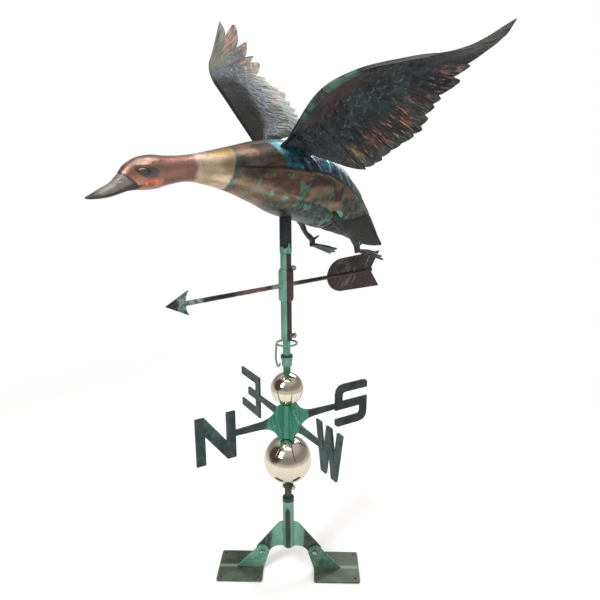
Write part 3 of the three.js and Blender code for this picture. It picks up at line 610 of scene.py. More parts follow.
def duck_material(name):
    s = Shade(name)
    place = s.duck_place()
    x, y, z = s.parts(place)
    z = z - DUCK_HEIGHT * MM
    lift, edge, above, tail = (s.attribute(k) for k in ("lift", "edge", "above", "tail"))
    cloud = s.noise(20, 7, 0.68, distort=0.4)
    fine = s.noise(75, 6, 0.7)
    blotch = s.noise(13, 5, 0.62, distort=1.2)
    along = s.noise(1, 4, 0.52, place=s.stretched(9, 30, 30, place=place), distort=0.5)
    drips = s.noise(1, 5, 0.6, place=s.stretched(46, 46, 16, place=place), distort=0.5)

    # brown copper that runs lengthways, with olive, gold and near black stretches
    copper = s.tones(along, 0.36, 0.62, (0.06, 0.038, 0.032), (0.21, 0.135, 0.095))
    copper = s.mix(s.ramp(blotch, 0.5, 0.62) * 0.85, copper, (0.155, 0.13, 0.078))
    bright = s.ramp(along, 0.55, 0.66) * s.ramp(fine, 0.38, 0.54)
    copper = s.mix(bright * 0.7, copper, (0.33, 0.19, 0.13))
    copper = s.mix(s.ramp(cloud, 0.52, 0.64) * 0.85, copper, (0.045, 0.055, 0.05))

    # copper and dark spots, and the painted gold highlight
    for at, size, strength, tint in COPPER_AND_HIGHLIGHT_SPOTS:
        haze = oval(s, x, z, at, size, blotch, 4.0, 1.8, 0.0) * s.ramp(along, 0.34, 0.54)
        copper = s.mix(haze * strength, copper, tint)

    # gold band on the neck with a painted pale rose highlight, then rosy copper on the head
    wobble = (cloud - 0.5) * 0.016
    xw = x + wobble
    from_edge = xw + (lift * 0.0085 - 0.1475)
    band = s.ramp(from_edge, -0.003, 0.003) * s.ramp(xw, 0.225, 0.21)
    gold = s.tones(along, 0.36, 0.62, (0.3, 0.225, 0.14), (0.6, 0.49, 0.35))
    gold = s.tones(
        lift, 0.45, 0.8, gold, s.tones(cloud, 0.44, 0.6, (0.33, 0.215, 0.085), (0.07, 0.055, 0.03))
    )
    # painted highlight: pale rose over the part of the band toward the head
    gold = s.tones(
        from_edge, 0.03, 0.075, gold, s.tones(fine, 0.4, 0.6, (0.5, 0.34, 0.27), (0.62, 0.47, 0.4))
    )
    darker_tone = s.ramp(fine, 0.63, 0.72) * 0.7
    gold = s.mix(darker_tone, gold, (0.06, 0.045, 0.03))
    colour = s.mix(band, copper, gold)
    rim = s.band(from_edge, -0.012, -0.004, -0.002, 0.002)
    colour = s.mix(rim * 0.75, colour, (0.075, 0.09, 0.082))
    head = s.ramp(xw, 0.21, 0.225)
    rosy = s.tones(along, 0.36, 0.62, (0.19, 0.09, 0.068), (0.4, 0.21, 0.165))
    rosy = s.mix(s.ramp(cloud, 0.54, 0.68) * 0.7, rosy, (0.1, 0.07, 0.045))
    colour = s.mix(head, colour, rosy)
    # painted sheen: greyish tone on the top of the head
    painted_crown_sheen = s.ramp(xw, 0.275, 0.3) * s.ramp(lift, 0.1, 0.6) * s.ramp(fine, 0.36, 0.56)
    colour = s.mix(painted_crown_sheen * 0.8, colour, (0.15, 0.125, 0.105))
    glow = s.ramp(fine, 0.5, 0.62) * oval(s, x, z, (322, -2), (16, 22), cloud, 1.0)
    colour = s.mix(glow * 0.55, colour, (0.4, 0.18, 0.1))
    colour = s.mix(oval(s, x, z, (304, 3.5), (17, 9), fine, 1.2), colour, (0.155, 0.135, 0.13))
    spot = s.tones(fine, 0.4, 0.6, (0.42, 0.1, 0.055), (0.62, 0.28, 0.16))
    colour = s.mix(oval(s, x, z, (296, -12), (17, 7), fine, 1.8) * 0.9, colour, spot)
    ring = oval(s, x, z, (284, 2), (7, 12), fine, 2.0) * s.ramp(cloud, 0.4, 0.56)
    colour = s.mix(ring * 0.8, colour, (0.36, 0.2, 0.17))
    bill = s.ramp(s.attribute("face"), 0.0, 0.35)
    bill_colour = s.tones(cloud, 0.4, 0.6, (0.045, 0.045, 0.04), (0.21, 0.185, 0.175))
    bill_colour = s.mix(s.ramp(fine, 0.56, 0.68) * 0.5, bill_colour, (0.25, 0.15, 0.14))
    bill_colour = s.tones(lift, -0.1, -0.5, bill_colour, (0.035, 0.04, 0.036))
    bill_colour = s.tones(x, 0.375, 0.398, bill_colour, (0.04, 0.038, 0.036))
    colour = s.mix(bill, colour, bill_colour)

    # dark green belly and dark hind body
    hind = s.ramp(lift, -0.35, -0.75) + (cloud - 0.5) * 1.1
    hind = s.ramp(hind, 0.3, 0.6) * s.ramp(x, 0.07, 0.0)
    dusk = s.ramp(x, -0.1, -0.19) + (cloud - 0.5) * 1.2
    hind = s.max(hind, s.ramp(dusk, 0.4, 0.8) * 0.85)
    green_dark = s.tones(fine, 0.42, 0.62, (0.006, 0.011, 0.011), (0.03, 0.052, 0.048))
    green_dark = s.mix(s.ramp(s.noise(110, 4, 0.7), 0.54, 0.64) * 0.6, green_dark, (0.075, 0.18, 0.155))
    colour = s.mix(hind, colour, green_dark)

    # blue and violet back, with a turquoise edge on each long feather
    slant = xw - z * 0.32
    back = above * s.ramp(slant, 0.05, 0.04) * s.ramp(xw, -0.185, -0.14)
    night = s.tones(cloud, 0.42, 0.6, (0.022, 0.026, 0.055), (0.09, 0.058, 0.1))
    stroke = s.attribute("stroke") * s.ramp(fine, 0.36, 0.5)
    stroke = stroke * s.ramp(s.noise(17, 4, 0.6, distort=0.8), 0.36, 0.54)
    blue = s.tones(cloud, 0.44, 0.6, (0.06, 0.34, 0.43), (0.26, 0.52, 0.5))
    stain = s.ramp(s.noise(24, 5, 0.7, distort=1.0), 0.46, 0.58) * s.ramp(x, -0.14, -0.03)
    stain = s.max(stain, s.ramp(x, 0.0, 0.03) * s.ramp(fine, 0.38, 0.52))
    night = s.mix(stain * 0.85, night, s.tones(fine, 0.42, 0.6, (0.02, 0.13, 0.22), (0.09, 0.36, 0.46)))
    front = s.ramp(slant, 0.018, 0.027) * s.ramp(fine, 0.4, 0.54) * s.ramp(z, 0.066, 0.04)
    night = s.mix(s.max(stroke, front), night, blue)
    colour = s.mix(back * 0.95, colour, night)

    # painted grey highlight on the top of the shoulder, green runs, and green in the laps of the feathers
    painted_shoulder_highlight = s.band(xw, 0.14, 0.11, 0.05, 0.03)
    painted_shoulder_highlight = painted_shoulder_highlight * s.ramp(lift, 0.15, 0.5) * s.ramp(blotch, 0.44, 0.54)
    colour = s.mix(painted_shoulder_highlight * 0.75, colour, (0.12, 0.13, 0.1))
    run = s.ramp(drips, 0.57, 0.65) * s.ramp(xw, 0.15, 0.12) * s.ramp(above, 0.6, 0.2)
    colour = s.mix(run * 0.6, colour, (0.09, 0.24, 0.18))
    leaf = s.tones(fine, 0.4, 0.6, (0.05, 0.16, 0.12), (0.13, 0.31, 0.235))
    speck = s.noise(130, 4, 0.65, distort=0.5)
    for at, size in GREEN_SPOTS:
        leaves = oval(s, x, z, at, size, speck, 6.0, 1.5, 0.4) * s.ramp(fine, 0.4, 0.52)
        colour = s.mix(leaves * 0.8, colour, leaf)
    off_line = abs(x + z * 0.55 + 0.0113) + (speck - 0.5) * 0.03
    long_run = s.ramp(off_line, 0.0065, 0.003) * s.band(z, 0.016, 0.006, -0.054, -0.066)
    long_run = long_run * s.ramp(speck, 0.42, 0.54)
    colour = s.mix(long_run * 0.8, colour, leaf)
    laps = edge * s.ramp(fine, 0.38, 0.6)
    colour = s.mix(laps * 0.4, colour, (0.1, 0.2, 0.19))
    rump = s.ramp(x, -0.13, -0.165) * s.ramp(lift, 0.1, 0.5) * s.ramp(fine, 0.42, 0.56)
    colour = s.mix(rump * 0.6, colour, (0.15, 0.155, 0.12))
    boss = oval(s, x, z, (-104, -84), (17, 13), fine, 1.2) * s.ramp(y, 0.0, 0.01)
    colour = s.mix(boss, colour, s.tones(fine, 0.4, 0.6, (0.05, 0.2, 0.18), (0.12, 0.4, 0.35)))
    tail_colour = s.tones(cloud, 0.4, 0.7, (0.006, 0.008, 0.007), (0.022, 0.025, 0.022))
    colour = s.mix(tail, colour, tail_colour)
    colour = s.mix(s.attribute("seam") * 0.9, colour, (0.01, 0.011, 0.01))
    # painted highlight: pale glints along the edge of the seam
    painted_seam_glint = s.attribute("lip") * s.ramp(cloud, 0.44, 0.56)
    colour = s.mix(painted_seam_glint * 0.8, colour, (0.2, 0.22, 0.21))
    colour = s.mix(s.attribute("mark"), colour, (0.025, 0.02, 0.018))

    rough = s.between(cloud, 0.2, 0.44, 0.35, 0.7) + band * 0.1 + tail * 0.3
    metal = (0.85 - s.max(hind, bill) * 0.5) * (1.0 - tail)
    dents = s.noise(26, 3, 0.55)
    height = fine * 0.5 + s.noise(260, 3, 0.6) * 0.3
    height = height + dents * 1.2
    return s.finish(colour, rough, metal, s.bump(height, 0.4, 0.0016), 0.4)


def make_duck(material):
    points, info = duck_surface()
    relief, marks = duck_relief(points, info)
    normal = grid_normals(points)
    centre = points.mean(axis=1, keepdims=True)
    if np.sum(normal * (points - centre)) < 0:
        normal = -normal
    fade = step(info["mm"], 2, 14)
    points = points + normal * (relief * fade)[..., None]
    rows, sides = points.shape[:2]
    # scalloped end of the tail fan
    end = step(info["mm"], info["mm"].max() - 26, info["mm"].max())
    scallop = np.abs(np.sin(info["out"] * 5.0 * math.pi)) ** 0.7
    points[..., 0] -= end * (scallop - 0.6) * 5
    points[..., 2] -= end * (scallop - 0.6) * 5
    faces = [f[::-1] for f in ring_faces(rows, sides) + tip_faces(rows, sides)]
    flat = np.concatenate([points.reshape(-1, 3), points[:1].mean(1), points[-1:].mean(1)])
    flat[:, 2] += DUCK_HEIGHT
    made = smooth_object(
        "duck_skin", bird_to_row(flat), faces, material, "vane", ["duck_body"], "copper", 50
    )
    for key, numbers in marks.items():
        marks[key] = np.append(numbers, [0, 1 if key == "tail" else 0])
    add_numbers(made, marks)
    return made


# Wings

FRONT = [[0, 0, 0], [93, 46, -12], [174, 57, 0], [258, 43, 18], [337, 18, 27], [413, 0, 0]]
REAR = [
    [16, -60, -4], [80, -145, 4], [128, -145, 4], [202, -127, 3], [257, -88, 5], [338, -58, -12],
    [394, -30, -10], [413, 0, 0],
]
WRIST = 0.66

# Feathers from the root out: notch and tip of each, as place along the span and reach across the chord
LEFT_FEATHERS = [
    [0, 1, 0.164, 0.987], [0.172, 0.937, 0.232, 0.976], [0.242, 0.955, 0.282, 0.99],
    [0.29, 0.948, 0.323, 0.965], [0.335, 0.941, 0.368, 0.965], [0.38, 0.945, 0.426, 0.98],
    [0.434, 0.944, 0.472, 1], [0.48, 0.948, 0.526, 0.983], [0.534, 0.916, 0.575, 0.962],
    [0.582, 0.909, 0.605, 0.951], [0.613, 0.891, 0.667, 0.98], [0.675, 0.859, 0.721, 0.933],
    [0.729, 0.866, 1, 1],
]
RIGHT_FEATHERS = [
    [0, 1, 0.15, 0.97], [0.157, 0.92, 0.2, 0.97], [0.207, 0.92, 0.25, 0.97],
    [0.257, 0.91, 0.29, 0.97], [0.297, 0.9, 0.329, 0.98], [0.336, 0.89, 0.366, 0.944],
    [0.374, 0.86, 0.426, 0.987], [0.433, 0.859, 0.456, 0.926], [0.463, 0.8, 0.51, 0.941],
    [0.518, 0.834, 0.546, 0.912], [0.556, 0.7, 0.627, 1.04], [0.635, 0.777, 0.657, 0.948],
    [0.665, 0.738, 0.732, 0.951], [0.742, 0.67, 0.878, 1.1], [0.888, 0.72, 1, 1],
]
WINGS = {
    "left": {
        "side": 1, "root": [37, 49, 64], "rise": 28, "pitch": 35, "sweep": 5, "feathers": LEFT_FEATHERS,
        "relief": 0.85,
    },
    "right": {
        "side": -1, "root": [40, 45, 70], "rise": 45, "pitch": 11, "sweep": 13, "feathers": RIGHT_FEATHERS,
        "relief": 0.45,
    },
}


def wing_placing(pose):
    own = np.array([[0, 1, 0], [1, 0, 0], [0, 0, -1]], float)
    a, b, c = (math.radians(v) for v in (pose["rise"], -pose["pitch"], pose["sweep"]))
    turn = np.array(Matrix.Rotation(c, 3, "Z") @ Matrix.Rotation(b, 3, "Y") @ Matrix.Rotation(a, 3, "X"))
    return turn @ own, np.array(pose["root"], float)


def wing_columns(feathers, pitch=0.0034):
    """Place along the span, reach across the chord and place across its feather of each column."""
    rows = []
    for number, (inner, notch, outer, tip) in enumerate(feathers):
        steps = max(10, round((outer - inner) / pitch))
        for u in np.linspace(0, 1, steps + 1):
            reach = notch + (tip - notch) * u**0.7
            if outer < 1:
                reach -= 0.25 * (tip - notch) * step(u, 0.9, 1.0)
            rows.append((inner + (outer - inner) * u, reach, u, number))
    return np.array(rows).T


def wing_grid(feathers, rows=84):
    """Middle surface of the wing in its own span, chord and depth, with relief and masks."""
    along, reach, across, number = wing_columns(feathers)
    columns = len(along)
    over = np.concatenate([np.linspace(0, 0.12, 12)[:-1], np.linspace(0.12, 1, rows - 11)])
    base = through(FRONT, along * WRIST)
    rear = through(REAR, along)
    wrist = through(FRONT, [WRIST])[0]
    tip = np.array(REAR[-1], float)
    v = over[None, :] * reach[:, None]
    points = base[:, None] + (rear - base)[:, None] * v[..., None]
    hand = through(FRONT, WRIST + (1 - WRIST) * np.clip(v, 0, 1).ravel()).reshape(columns, rows, 3)
    straight = wrist + (tip - wrist) * v[..., None]
    points = points + (hand - straight) * (along**4)[:, None, None]
    points[..., 2] -= 10 * np.sin(math.pi * v) * (1 - along**4)[:, None]
    span = np.repeat(along[:, None], rows, 1)
    side = np.repeat(across[:, None], rows, 1)
    fan = np.repeat(number[:, None], rows, 1)
    ridge = 2.6 * over[None, :] * (side - 0.5)
    # the long feathers start beyond the rows of short ones, and each has its own shaft
    flight = step(v, 0.36, 0.46)
    shaft = bell(side - 0.55, 0.06) * flight
    barb = 0.22 * np.sin(v * 190 + np.abs(side - 0.55) * 16) * flight * step(
        np.abs(side - 0.55), 0.05, 0.2
    )
    # lapped short feathers in rows that run along the span
    pitch = 0.066 + 0.05 * v
    short, edge = lapped((v - 0.1) / pitch, span * 0.98 + 0.02 * v, 17, 0.9)
    short_mask = step(v, 0.13, 0.18) * (1 - step(v, 0.44, 0.53)) * (1 - step(span, 0.72, 0.86))
    # second row of long feathers over the first
    second, second_edge = lapped((v - 0.47) / 0.27 + 0.1 * np.sin(fan * 2.4), span + 0.014, 22, 0.9)
    second_mask = step(v, 0.44, 0.5) * (1 - step(v, 0.7, 0.78)) * (1 - step(span, 0.6, 0.75))
    # creases along the long hand feather
    hand_mask = step(span, 0.72, 0.84)
    crease = np.sin(side * 2 * math.pi * 3.5) * hand_mask * step(v, 0.2, 0.4) * 0.55
    relief = 0.9 * shaft + barb + 2.6 * short_mask * short + 2.0 * second_mask * second + crease
    half = np.maximum(1.5, 9 * (1 - over * 6)) / 2
    return {
        "points": points, "ridge": ridge, "relief": relief, "half": np.repeat(half[None], columns, 0),
        "span": span, "chord": v, "edge": np.clip(edge * short_mask + 0.7 * second_edge * second_mask, 0, 1),
        "across": side, "fan": fan,
    }


def wing_base(s, dark_low, dark_high):
    """Near black formed copper with blue and green in its laps, for both wings."""
    chord, edge = s.attribute("chord"), s.attribute("edge")
    cloud = s.noise(19, 8, 0.7, distort=0.6)
    fine = s.noise(95, 7, 0.74)
    dark = s.tones(cloud, 0.38, 0.66, dark_low, dark_high)
    night = s.ramp(s.noise(27, 5, 0.65, distort=0.8), 0.53, 0.66)
    colour = s.mix(night * 0.7, dark, (0.028, 0.038, 0.058))
    teal = edge * s.ramp(fine, 0.38, 0.58) * s.ramp(s.noise(15, 4, 0.6, distort=0.8), 0.36, 0.6)
    colour = s.mix(teal * 0.95, colour, (0.12, 0.2, 0.2))
    fleck = s.ramp(fine, 0.62, 0.72) * 0.55
    return chord, cloud, fine, s.mix(fleck, colour, (0.14, 0.17, 0.165))


def wing_finish(s, colour, cloud, fine, metal=0.5, dull=0.0, bump=0.5):
    rough = s.between(cloud, 0.22, 0.46, 0.35, 0.7) + dull
    barbs = s.noise(1, 3, 0.6, place=s.stretched(30, 240, 240, 0.9))
    height = fine * 0.7 + barbs * 0.5
    return s.finish(colour, rough, metal, s.bump(height, bump, 0.0014), 0.35)


def near_wing_material(name):
    """Underside of the near wing: black, with bare copper where the long feathers begin."""
    s = Shade(name)
    chord, cloud, fine, colour = wing_base(s, (0.007, 0.009, 0.011), (0.03, 0.037, 0.038))
    span, across, fan = s.attribute("span"), s.attribute("across"), s.attribute("fan")
    warm = s.band(chord, 0.05, 0.1, 0.16, 0.3) * s.ramp(s.noise(12, 5, 0.65, distort=1.0), 0.5, 0.6)
    colour = s.mix(warm * 0.7, colour, (0.05, 0.024, 0.021))
    # streaks that follow each feather, brightest on a few of them
    streak = s.noise(1, 4, 0.6, place=s.streak_place(span, chord, fan))
    between = s.ramp(abs(across - 0.5), 0.38, 0.48) * s.ramp(chord, 0.55, 0.7)
    colour = s.mix(between * 0.8, colour, (0.008, 0.01, 0.01))
    feather_tone = s.math("FRACT", (fan + 0.31) * 3.618)
    bare = s.band(chord, 0.6, 0.7, 0.86, 0.98) * s.ramp(streak + feather_tone * 0.14, 0.54, 0.66)
    bare = bare * s.ramp(abs(across - 0.5), 0.48, 0.36)
    inboard = s.band(span, 0.62, 0.5, 0.28, 0.2)
    outboard = s.band(span, 0.56, 0.62, 0.72, 0.76)
    copper = s.tones(streak, 0.56, 0.66, (0.09, 0.038, 0.026), (0.46, 0.2, 0.115))
    colour = s.mix(bare * inboard, colour, copper)
    rose = s.tones(fine, 0.42, 0.62, (0.06, 0.035, 0.035), (0.27, 0.14, 0.13))
    colour = s.mix(bare * outboard * 0.9, colour, rose)
    gold = bare * s.band(span, 0.24, 0.2, 0.15, 0.1)
    colour = s.mix(gold * 0.8, colour, (0.23, 0.18, 0.08))
    tips = s.ramp(chord, 0.8, 0.93) * s.ramp(streak, 0.42, 0.56) * s.ramp(span, 0.8, 0.7)
    colour = s.mix(tips * 0.6, colour, (0.07, 0.08, 0.068))
    brown = s.ramp(span, 0.74, 0.86) * s.ramp(chord, 0.15, 0.4)
    colour = s.mix(brown * s.ramp(streak, 0.42, 0.62), colour, (0.12, 0.11, 0.105))
    # green on the rolled leading edge
    lead = s.ramp(chord, 0.085, 0.04) * s.ramp(cloud, 0.42, 0.56)
    lead = lead * s.band(span, 0.12, 0.24, 0.5, 0.72)
    colour = s.mix(lead * 0.85, colour, (0.11, 0.215, 0.165))
    return wing_finish(s, colour, cloud, fine)


def far_wing_material(name):
    """Upper face of the far wing: blue-grey sheen, pale mottled feathers and copper on the hand."""
    s = Shade(name)
    chord, cloud, fine, colour = wing_base(s, (0.012, 0.014, 0.015), (0.05, 0.058, 0.06))
    span, across, fan = s.attribute("span"), s.attribute("across"), s.attribute("fan")
    streak = s.noise(0.45, 4, 0.6, place=s.streak_place(span, chord, fan))
    wobble = (cloud - 0.5) * 0.22
    c = chord + wobble
    d = span + wobble
    # painted shade: dark brown in the hollow near the root behind the leading edge
    painted_hollow_shade = s.band(c, 0.08, 0.16, 0.36, 0.5) * s.ramp(d, 0.34, 0.24)
    colour = s.mix(painted_hollow_shade * 0.85, colour, (0.048, 0.032, 0.024))
    # blue-grey field over the elbow and down the middle
    slate = s.tones(fine, 0.42, 0.64, (0.06, 0.07, 0.085), (0.115, 0.13, 0.15))
    field = s.band(c, 0.26, 0.4, 0.56, 0.68)
    elbow = s.band(d, 0.5, 0.6, 0.7, 0.8)
    field = s.max(field * s.ramp(d, 0.72, 0.62), elbow)
    colour = s.mix(field * 0.9, colour, slate)
    # pale mottled green and rose on the long feathers
    pale = s.tones(streak, 0.42, 0.6, (0.045, 0.062, 0.055), (0.17, 0.175, 0.15))
    pale = s.tones(s.noise(38, 5, 0.7), 0.5, 0.6, pale, (0.085, 0.16, 0.135))
    pale = s.mix(s.ramp(s.noise(30, 5, 0.7, distort=0.7), 0.5, 0.6) * 0.85, pale, (0.17, 0.08, 0.075))
    gap = s.ramp(abs(across - 0.5), 0.36, 0.5)
    pale = s.mix(gap * 0.85, pale, (0.02, 0.024, 0.022))
    colour = s.mix(s.ramp(c, 0.52, 0.64) * s.ramp(span, 0.66, 0.6), colour, pale)
    # the hand: olive grey blade, rosy second feather, orange and gold below it
    hand = s.ramp(d, 0.64, 0.74)
    olive = s.tones(streak, 0.4, 0.62, (0.075, 0.08, 0.068), (0.18, 0.18, 0.15))
    colour = s.mix(hand, colour, olive)
    long_part = s.ramp(chord, 0.36, 0.6)
    rosy = s.tones(streak, 0.4, 0.6, (0.11, 0.07, 0.058), (0.32, 0.19, 0.155))
    second = s.band(span, 0.74, 0.76, 0.87, 0.886) * long_part
    colour = s.mix(second * 0.85, colour, rosy)
    orange = s.tones(fine, 0.42, 0.6, (0.085, 0.045, 0.032), (0.5, 0.25, 0.13))
    lower = s.band(span, 0.55, 0.58, 0.735, 0.745) * long_part * s.ramp(streak, 0.48, 0.6)
    colour = s.mix(lower * 0.85, colour, orange)
    # black band down the leading edge with a few near-white spots
    lead = s.ramp(c, 0.34, 0.24) * s.ramp(d, 0.56, 0.46)
    colour = s.mix(lead * 0.97, colour, (0.006, 0.007, 0.006))
    spots = s.ramp(s.noise(46, 4, 0.7), 0.64, 0.7) * lead * s.ramp(span, 0.3, 0.38)
    colour = s.mix(spots, colour, (0.7, 0.7, 0.68))
    metal = 0.35 - lead * 0.35
    dull = 0.14 + lead * 0.34
    return wing_finish(s, colour, cloud, fine, metal, dull, 0.3)


def make_wing(label, material):
    pose = WINGS[label]
    g = wing_grid(pose["feathers"])
    turn, root = wing_placing(pose)
    columns, rows = g["span"].shape
    layers = []
    for face in (-1, 1):
        p = g["points"].copy()
        # face -1 is the upper side and face 1 the underside in the wing's own depth
        p[..., 2] += face * g["half"] + (g["half"] - 0.75) * 0.6 - g["ridge"]
        p[..., 2] += face * np.clip(g["relief"], -0.7, 2.8) * pose["relief"]
        p = np.concatenate([p[:1] + np.array([-24.0, 2.0, 14.0]), p], axis=0)
        layers.append(p)
    every = np.stack(layers).reshape(-1, 3) @ turn.T + root
    every[:, 1] *= pose["side"]
    every[:, 2] += DUCK_HEIGHT
    faces = slab_faces(columns + 1, rows)
    if pose["side"] > 0:
        faces = [f[::-1] for f in faces]
    made = smooth_object(
        f"{label}_wing_skin", bird_to_row(every), faces, material, "vane", [f"{label}_wing"], "feather",
        55
    )

    def doubled(values):
        full = np.concatenate([values[:1], values], axis=0)
        return np.concatenate([full.ravel(), full.ravel()])

    add_numbers(made, {k: doubled(g[k]) for k in ("span", "chord", "edge", "across", "fan")})
    return made


# Legs

LEGS = {
    "left": {
        "side": 1,
        "joints": [[-82, 38, -64, 10], [-110, 47, -100, 11], [-124, 53, -112, 7], [-138, 57, -128, 5.5],
                   [-151, 62, -149, 7], [-149, 62, -163, 4]],
        "spur": [[-150, 62, -148, 4], [-168, 62, -145, 1.6]],
        "sole": [-150, 62, -158], "droop": 14, "reach": 92,
    },
    "right": {
        "side": -1,
        "joints": [[-70, 45, -80, 12], [-84, 49, -93, 8], [-98, 53, -108, 6.5], [-112, 56, -126, 5.5],
                   [-138, 62, -145, 7], [-134, 62, -158, 4]],
        "spur": [[-139, 62, -144, 4], [-160, 62, -136, 1.6]],
        "sole": [-136, 62, -154], "droop": 17, "reach": 84,
    },
}


def limb(joints, sides=20, steps=26):
    line = through(joints, np.linspace(0, 1, steps))
    centre, radius = line[:, :3], line[:, 3]
    ahead = np.gradient(centre, axis=0)
    ahead /= np.linalg.norm(ahead, axis=1, keepdims=True)
    side = np.cross(np.array([0, 1.0, 0]), ahead)
    side /= np.linalg.norm(side, axis=1, keepdims=True)
    up = np.cross(ahead, side)
    turn = 2 * math.pi * np.arange(sides) / sides
    ridge = 1 + 0.05 * np.sin(np.linspace(0, 30, steps))[:, None]
    out = side[:, None] * np.cos(turn)[None, :, None] + up[:, None] * np.sin(turn)[None, :, None]
    points = centre[:, None] + out * (radius[:, None] * ridge)[..., None]
    start = centre[:1] - ahead[:1] * radius[0] * 0.4
    end = centre[-1:] + ahead[-1:] * radius[-1] * 0.6
    flat = np.concatenate([points.reshape(-1, 3), start, end])
    return flat, ring_faces(steps, sides) + tip_faces(steps, sides)


def web_foot(reach):
    spread = reach * 0.14
    toes = [(0.92 * reach, -spread), (reach, 0), (0.92 * reach, spread)]
    columns, rows = 33, 24
    points = []
    for lift in (1, -1):
        for i in range(columns):
            w = i / (columns - 1) * 2 - 1
            scallop = reach * (0.98 - 0.07 * abs(math.sin(w * math.pi)) - 0.06 * abs(w))
            for j in range(rows):
                t = j / (rows - 1)
                bone = math.cos(w * math.pi) ** 2
                thick = 1.5 + 0.8 * bone
                points.append(
                    (t * scallop, (4 + (spread - 4) * t) * w, lift * thick - 1.5 * (1 - bone) * t)
                )
    bones = []
    for x, y in toes:
        bone_line = [
            [-3, 0, 0, 3.6], [x * 0.3, y * 0.3, 1.2, 3.2], [x * 0.62, y * 0.7, 0.8, 2.8], [x, y, -1, 1.3]
        ]
        bones.append(limb(bone_line, 12, 14))
    return joined((np.array(points), slab_faces(columns, rows)), *bones)


def make_leg(label, material):
    pose = LEGS[label]
    foot, foot_faces = web_foot(pose["reach"])
    turn = (
        Matrix.Rotation(-math.radians(pose["droop"]), 3, "Y")
        @ Matrix.Rotation(-math.radians(34), 3, "X")
        @ Matrix.Rotation(math.pi, 3, "Z")
    )
    foot = foot @ np.array(turn).T + np.array(pose["sole"], float)
    points, faces = joined(limb(pose["joints"]), limb(pose["spur"], 12, 8), (foot, foot_faces))
    points[:, 1] *= pose["side"]
    points[:, 2] += DUCK_HEIGHT
    if pose["side"] < 0:
        faces = [f[::-1] for f in faces]
    return smooth_object(
        f"{label}_leg_form", bird_to_row(points), faces, material, "vane", [f"{label}_leg"], "bronze", 60
    )


# Turned pieces: radii, and heights above the floor

POLE = 7.95
GAP = 0.3
HOLE = POLE + GAP
BORE = POLE + 0.35
SOCKET_END, SOCKET_FLOOR, SOCKET_TOP = 59.5, 66, 188
POLE_END, POLE_TOP = SOCKET_FLOOR - 0.5, 677.8
COLLAR_END, COLLAR_TOP = 214, 229
BIG, SMALL = 54, 36
BIG_Z = COLLAR_TOP + GAP + BIG
HUB_Z = BIG_Z + BIG + GAP
HUB_TOP = HUB_Z + 79
SMALL_Z = HUB_TOP + GAP + SMALL
CUP_Z = SMALL_Z + SMALL + 16
TUBE_END, TUBE_TOP = 563, 749
STEM_END = TUBE_TOP + GAP
STEM_LENGTH, STEM_PLUG = 150, 46
SHAFT_BACK, SHAFT_FRONT, SHAFT_RADIUS = -279, 242, 4.6
MOUNT_REACH, MOUNT_EYE, PIVOT_Z = 61, 15.5, 47.5
WIRE_RADIUS, WIRE_RING = 2.15, 22


def at_floor(profile):
    return [(r, z + FLOOR) for r, z in profile]


def ball_profile(radius, height):
    inner = radius - 1
    a = math.degrees(math.acos(HOLE / radius))
    b = math.degrees(math.acos(HOLE / inner))
    outside = arc((0, height), radius, -a, a, 72)
    seam = [(r + (0.25 if abs(z - height) < 0.9 else 0), z) for r, z in outside]
    return seam + arc((0, height), inner, b, -b, 24)


def sleeve_profile(inner):
    bottom, top = ARROW_Z - 34, ARROW_Z + 34
    return [
        (inner, bottom), (12.6, bottom), (13.3, bottom + 0.5), (15.4, bottom + 4), (15.7, bottom + 5.2),
        (15.7, top - 5.2), (15.4, top - 4), (13.3, top - 0.5), (12.6, top), (inner, top),
    ]


def cup_profile():
    top = CUP_Z + 16
    return [
        (HOLE, CUP_Z), (10.2, CUP_Z), (11, CUP_Z + 1), (11.4, CUP_Z + 6), (11.4, top), (12.4, top + 0.2),
        (13, top + 1), (13, top + 8), (12.4, top + 8.8), (HOLE, top + 9),
    ]


def make_turned(name, node, profile, material, body, slot, sides=96):
    points, faces = turned(at_floor(profile), sides)
    return smooth_object(name, points, faces, material, body, [node], slot, 35)


def stem_profile():
    low, top = TUBE_TOP - STEM_PLUG, STEM_END + STEM_LENGTH
    return [
        (0.01, low), (POLE, low), (POLE, STEM_END), (11.8, STEM_END), (12.4, STEM_END + 0.6), (12.4, top),
        (0.01, top),
    ]


def shaft_mesh():
    profile = [
        (0.01, SHAFT_BACK), (4.0, SHAFT_BACK), (SHAFT_RADIUS, SHAFT_BACK + 0.8),
        (SHAFT_RADIUS, SHAFT_FRONT - 1), (4.0, SHAFT_FRONT), (0.01, SHAFT_FRONT),
    ]
    points, faces = turned(profile, 40)
    swing = np.stack([points[:, 2], points[:, 1], -points[:, 0]], axis=-1)
    swing[:, 2] += ARROW_Z + FLOOR
    return bird_to_row(swing), faces


# Ridge mount: a turned socket with its rim, and the arched plate with two eyes


def bend(start, corner, end):
    """Points of a bend from one point to another, drawn toward a corner."""
    start, corner, end = np.array([start, corner, end])
    t = np.linspace(0, 1, 11)[:, None]
    return [tuple(p) for p in (1 - t) ** 2 * start + 2 * t * (1 - t) * corner + t * t * end]


def arch_outline():
    lift = SOCKET_HEIGHT + 0.5
    reach = MOUNT_REACH
    right = [(0, lift)]
    right += bend(
        (reach * 0.42, lift), (reach * 0.66, SOCKET_HEIGHT - 3), (reach - MOUNT_EYE * 0.9, PIVOT_Z - 6)
    )
    right += arc((reach, PIVOT_Z), MOUNT_EYE, 205, 408, 40)
    right += bend((reach * 0.5, 109), (reach * 0.36, 121), (12.8, 121))
    left = [(-x, z) for x, z in right[::-1] if x > 0.01]
    return right + left


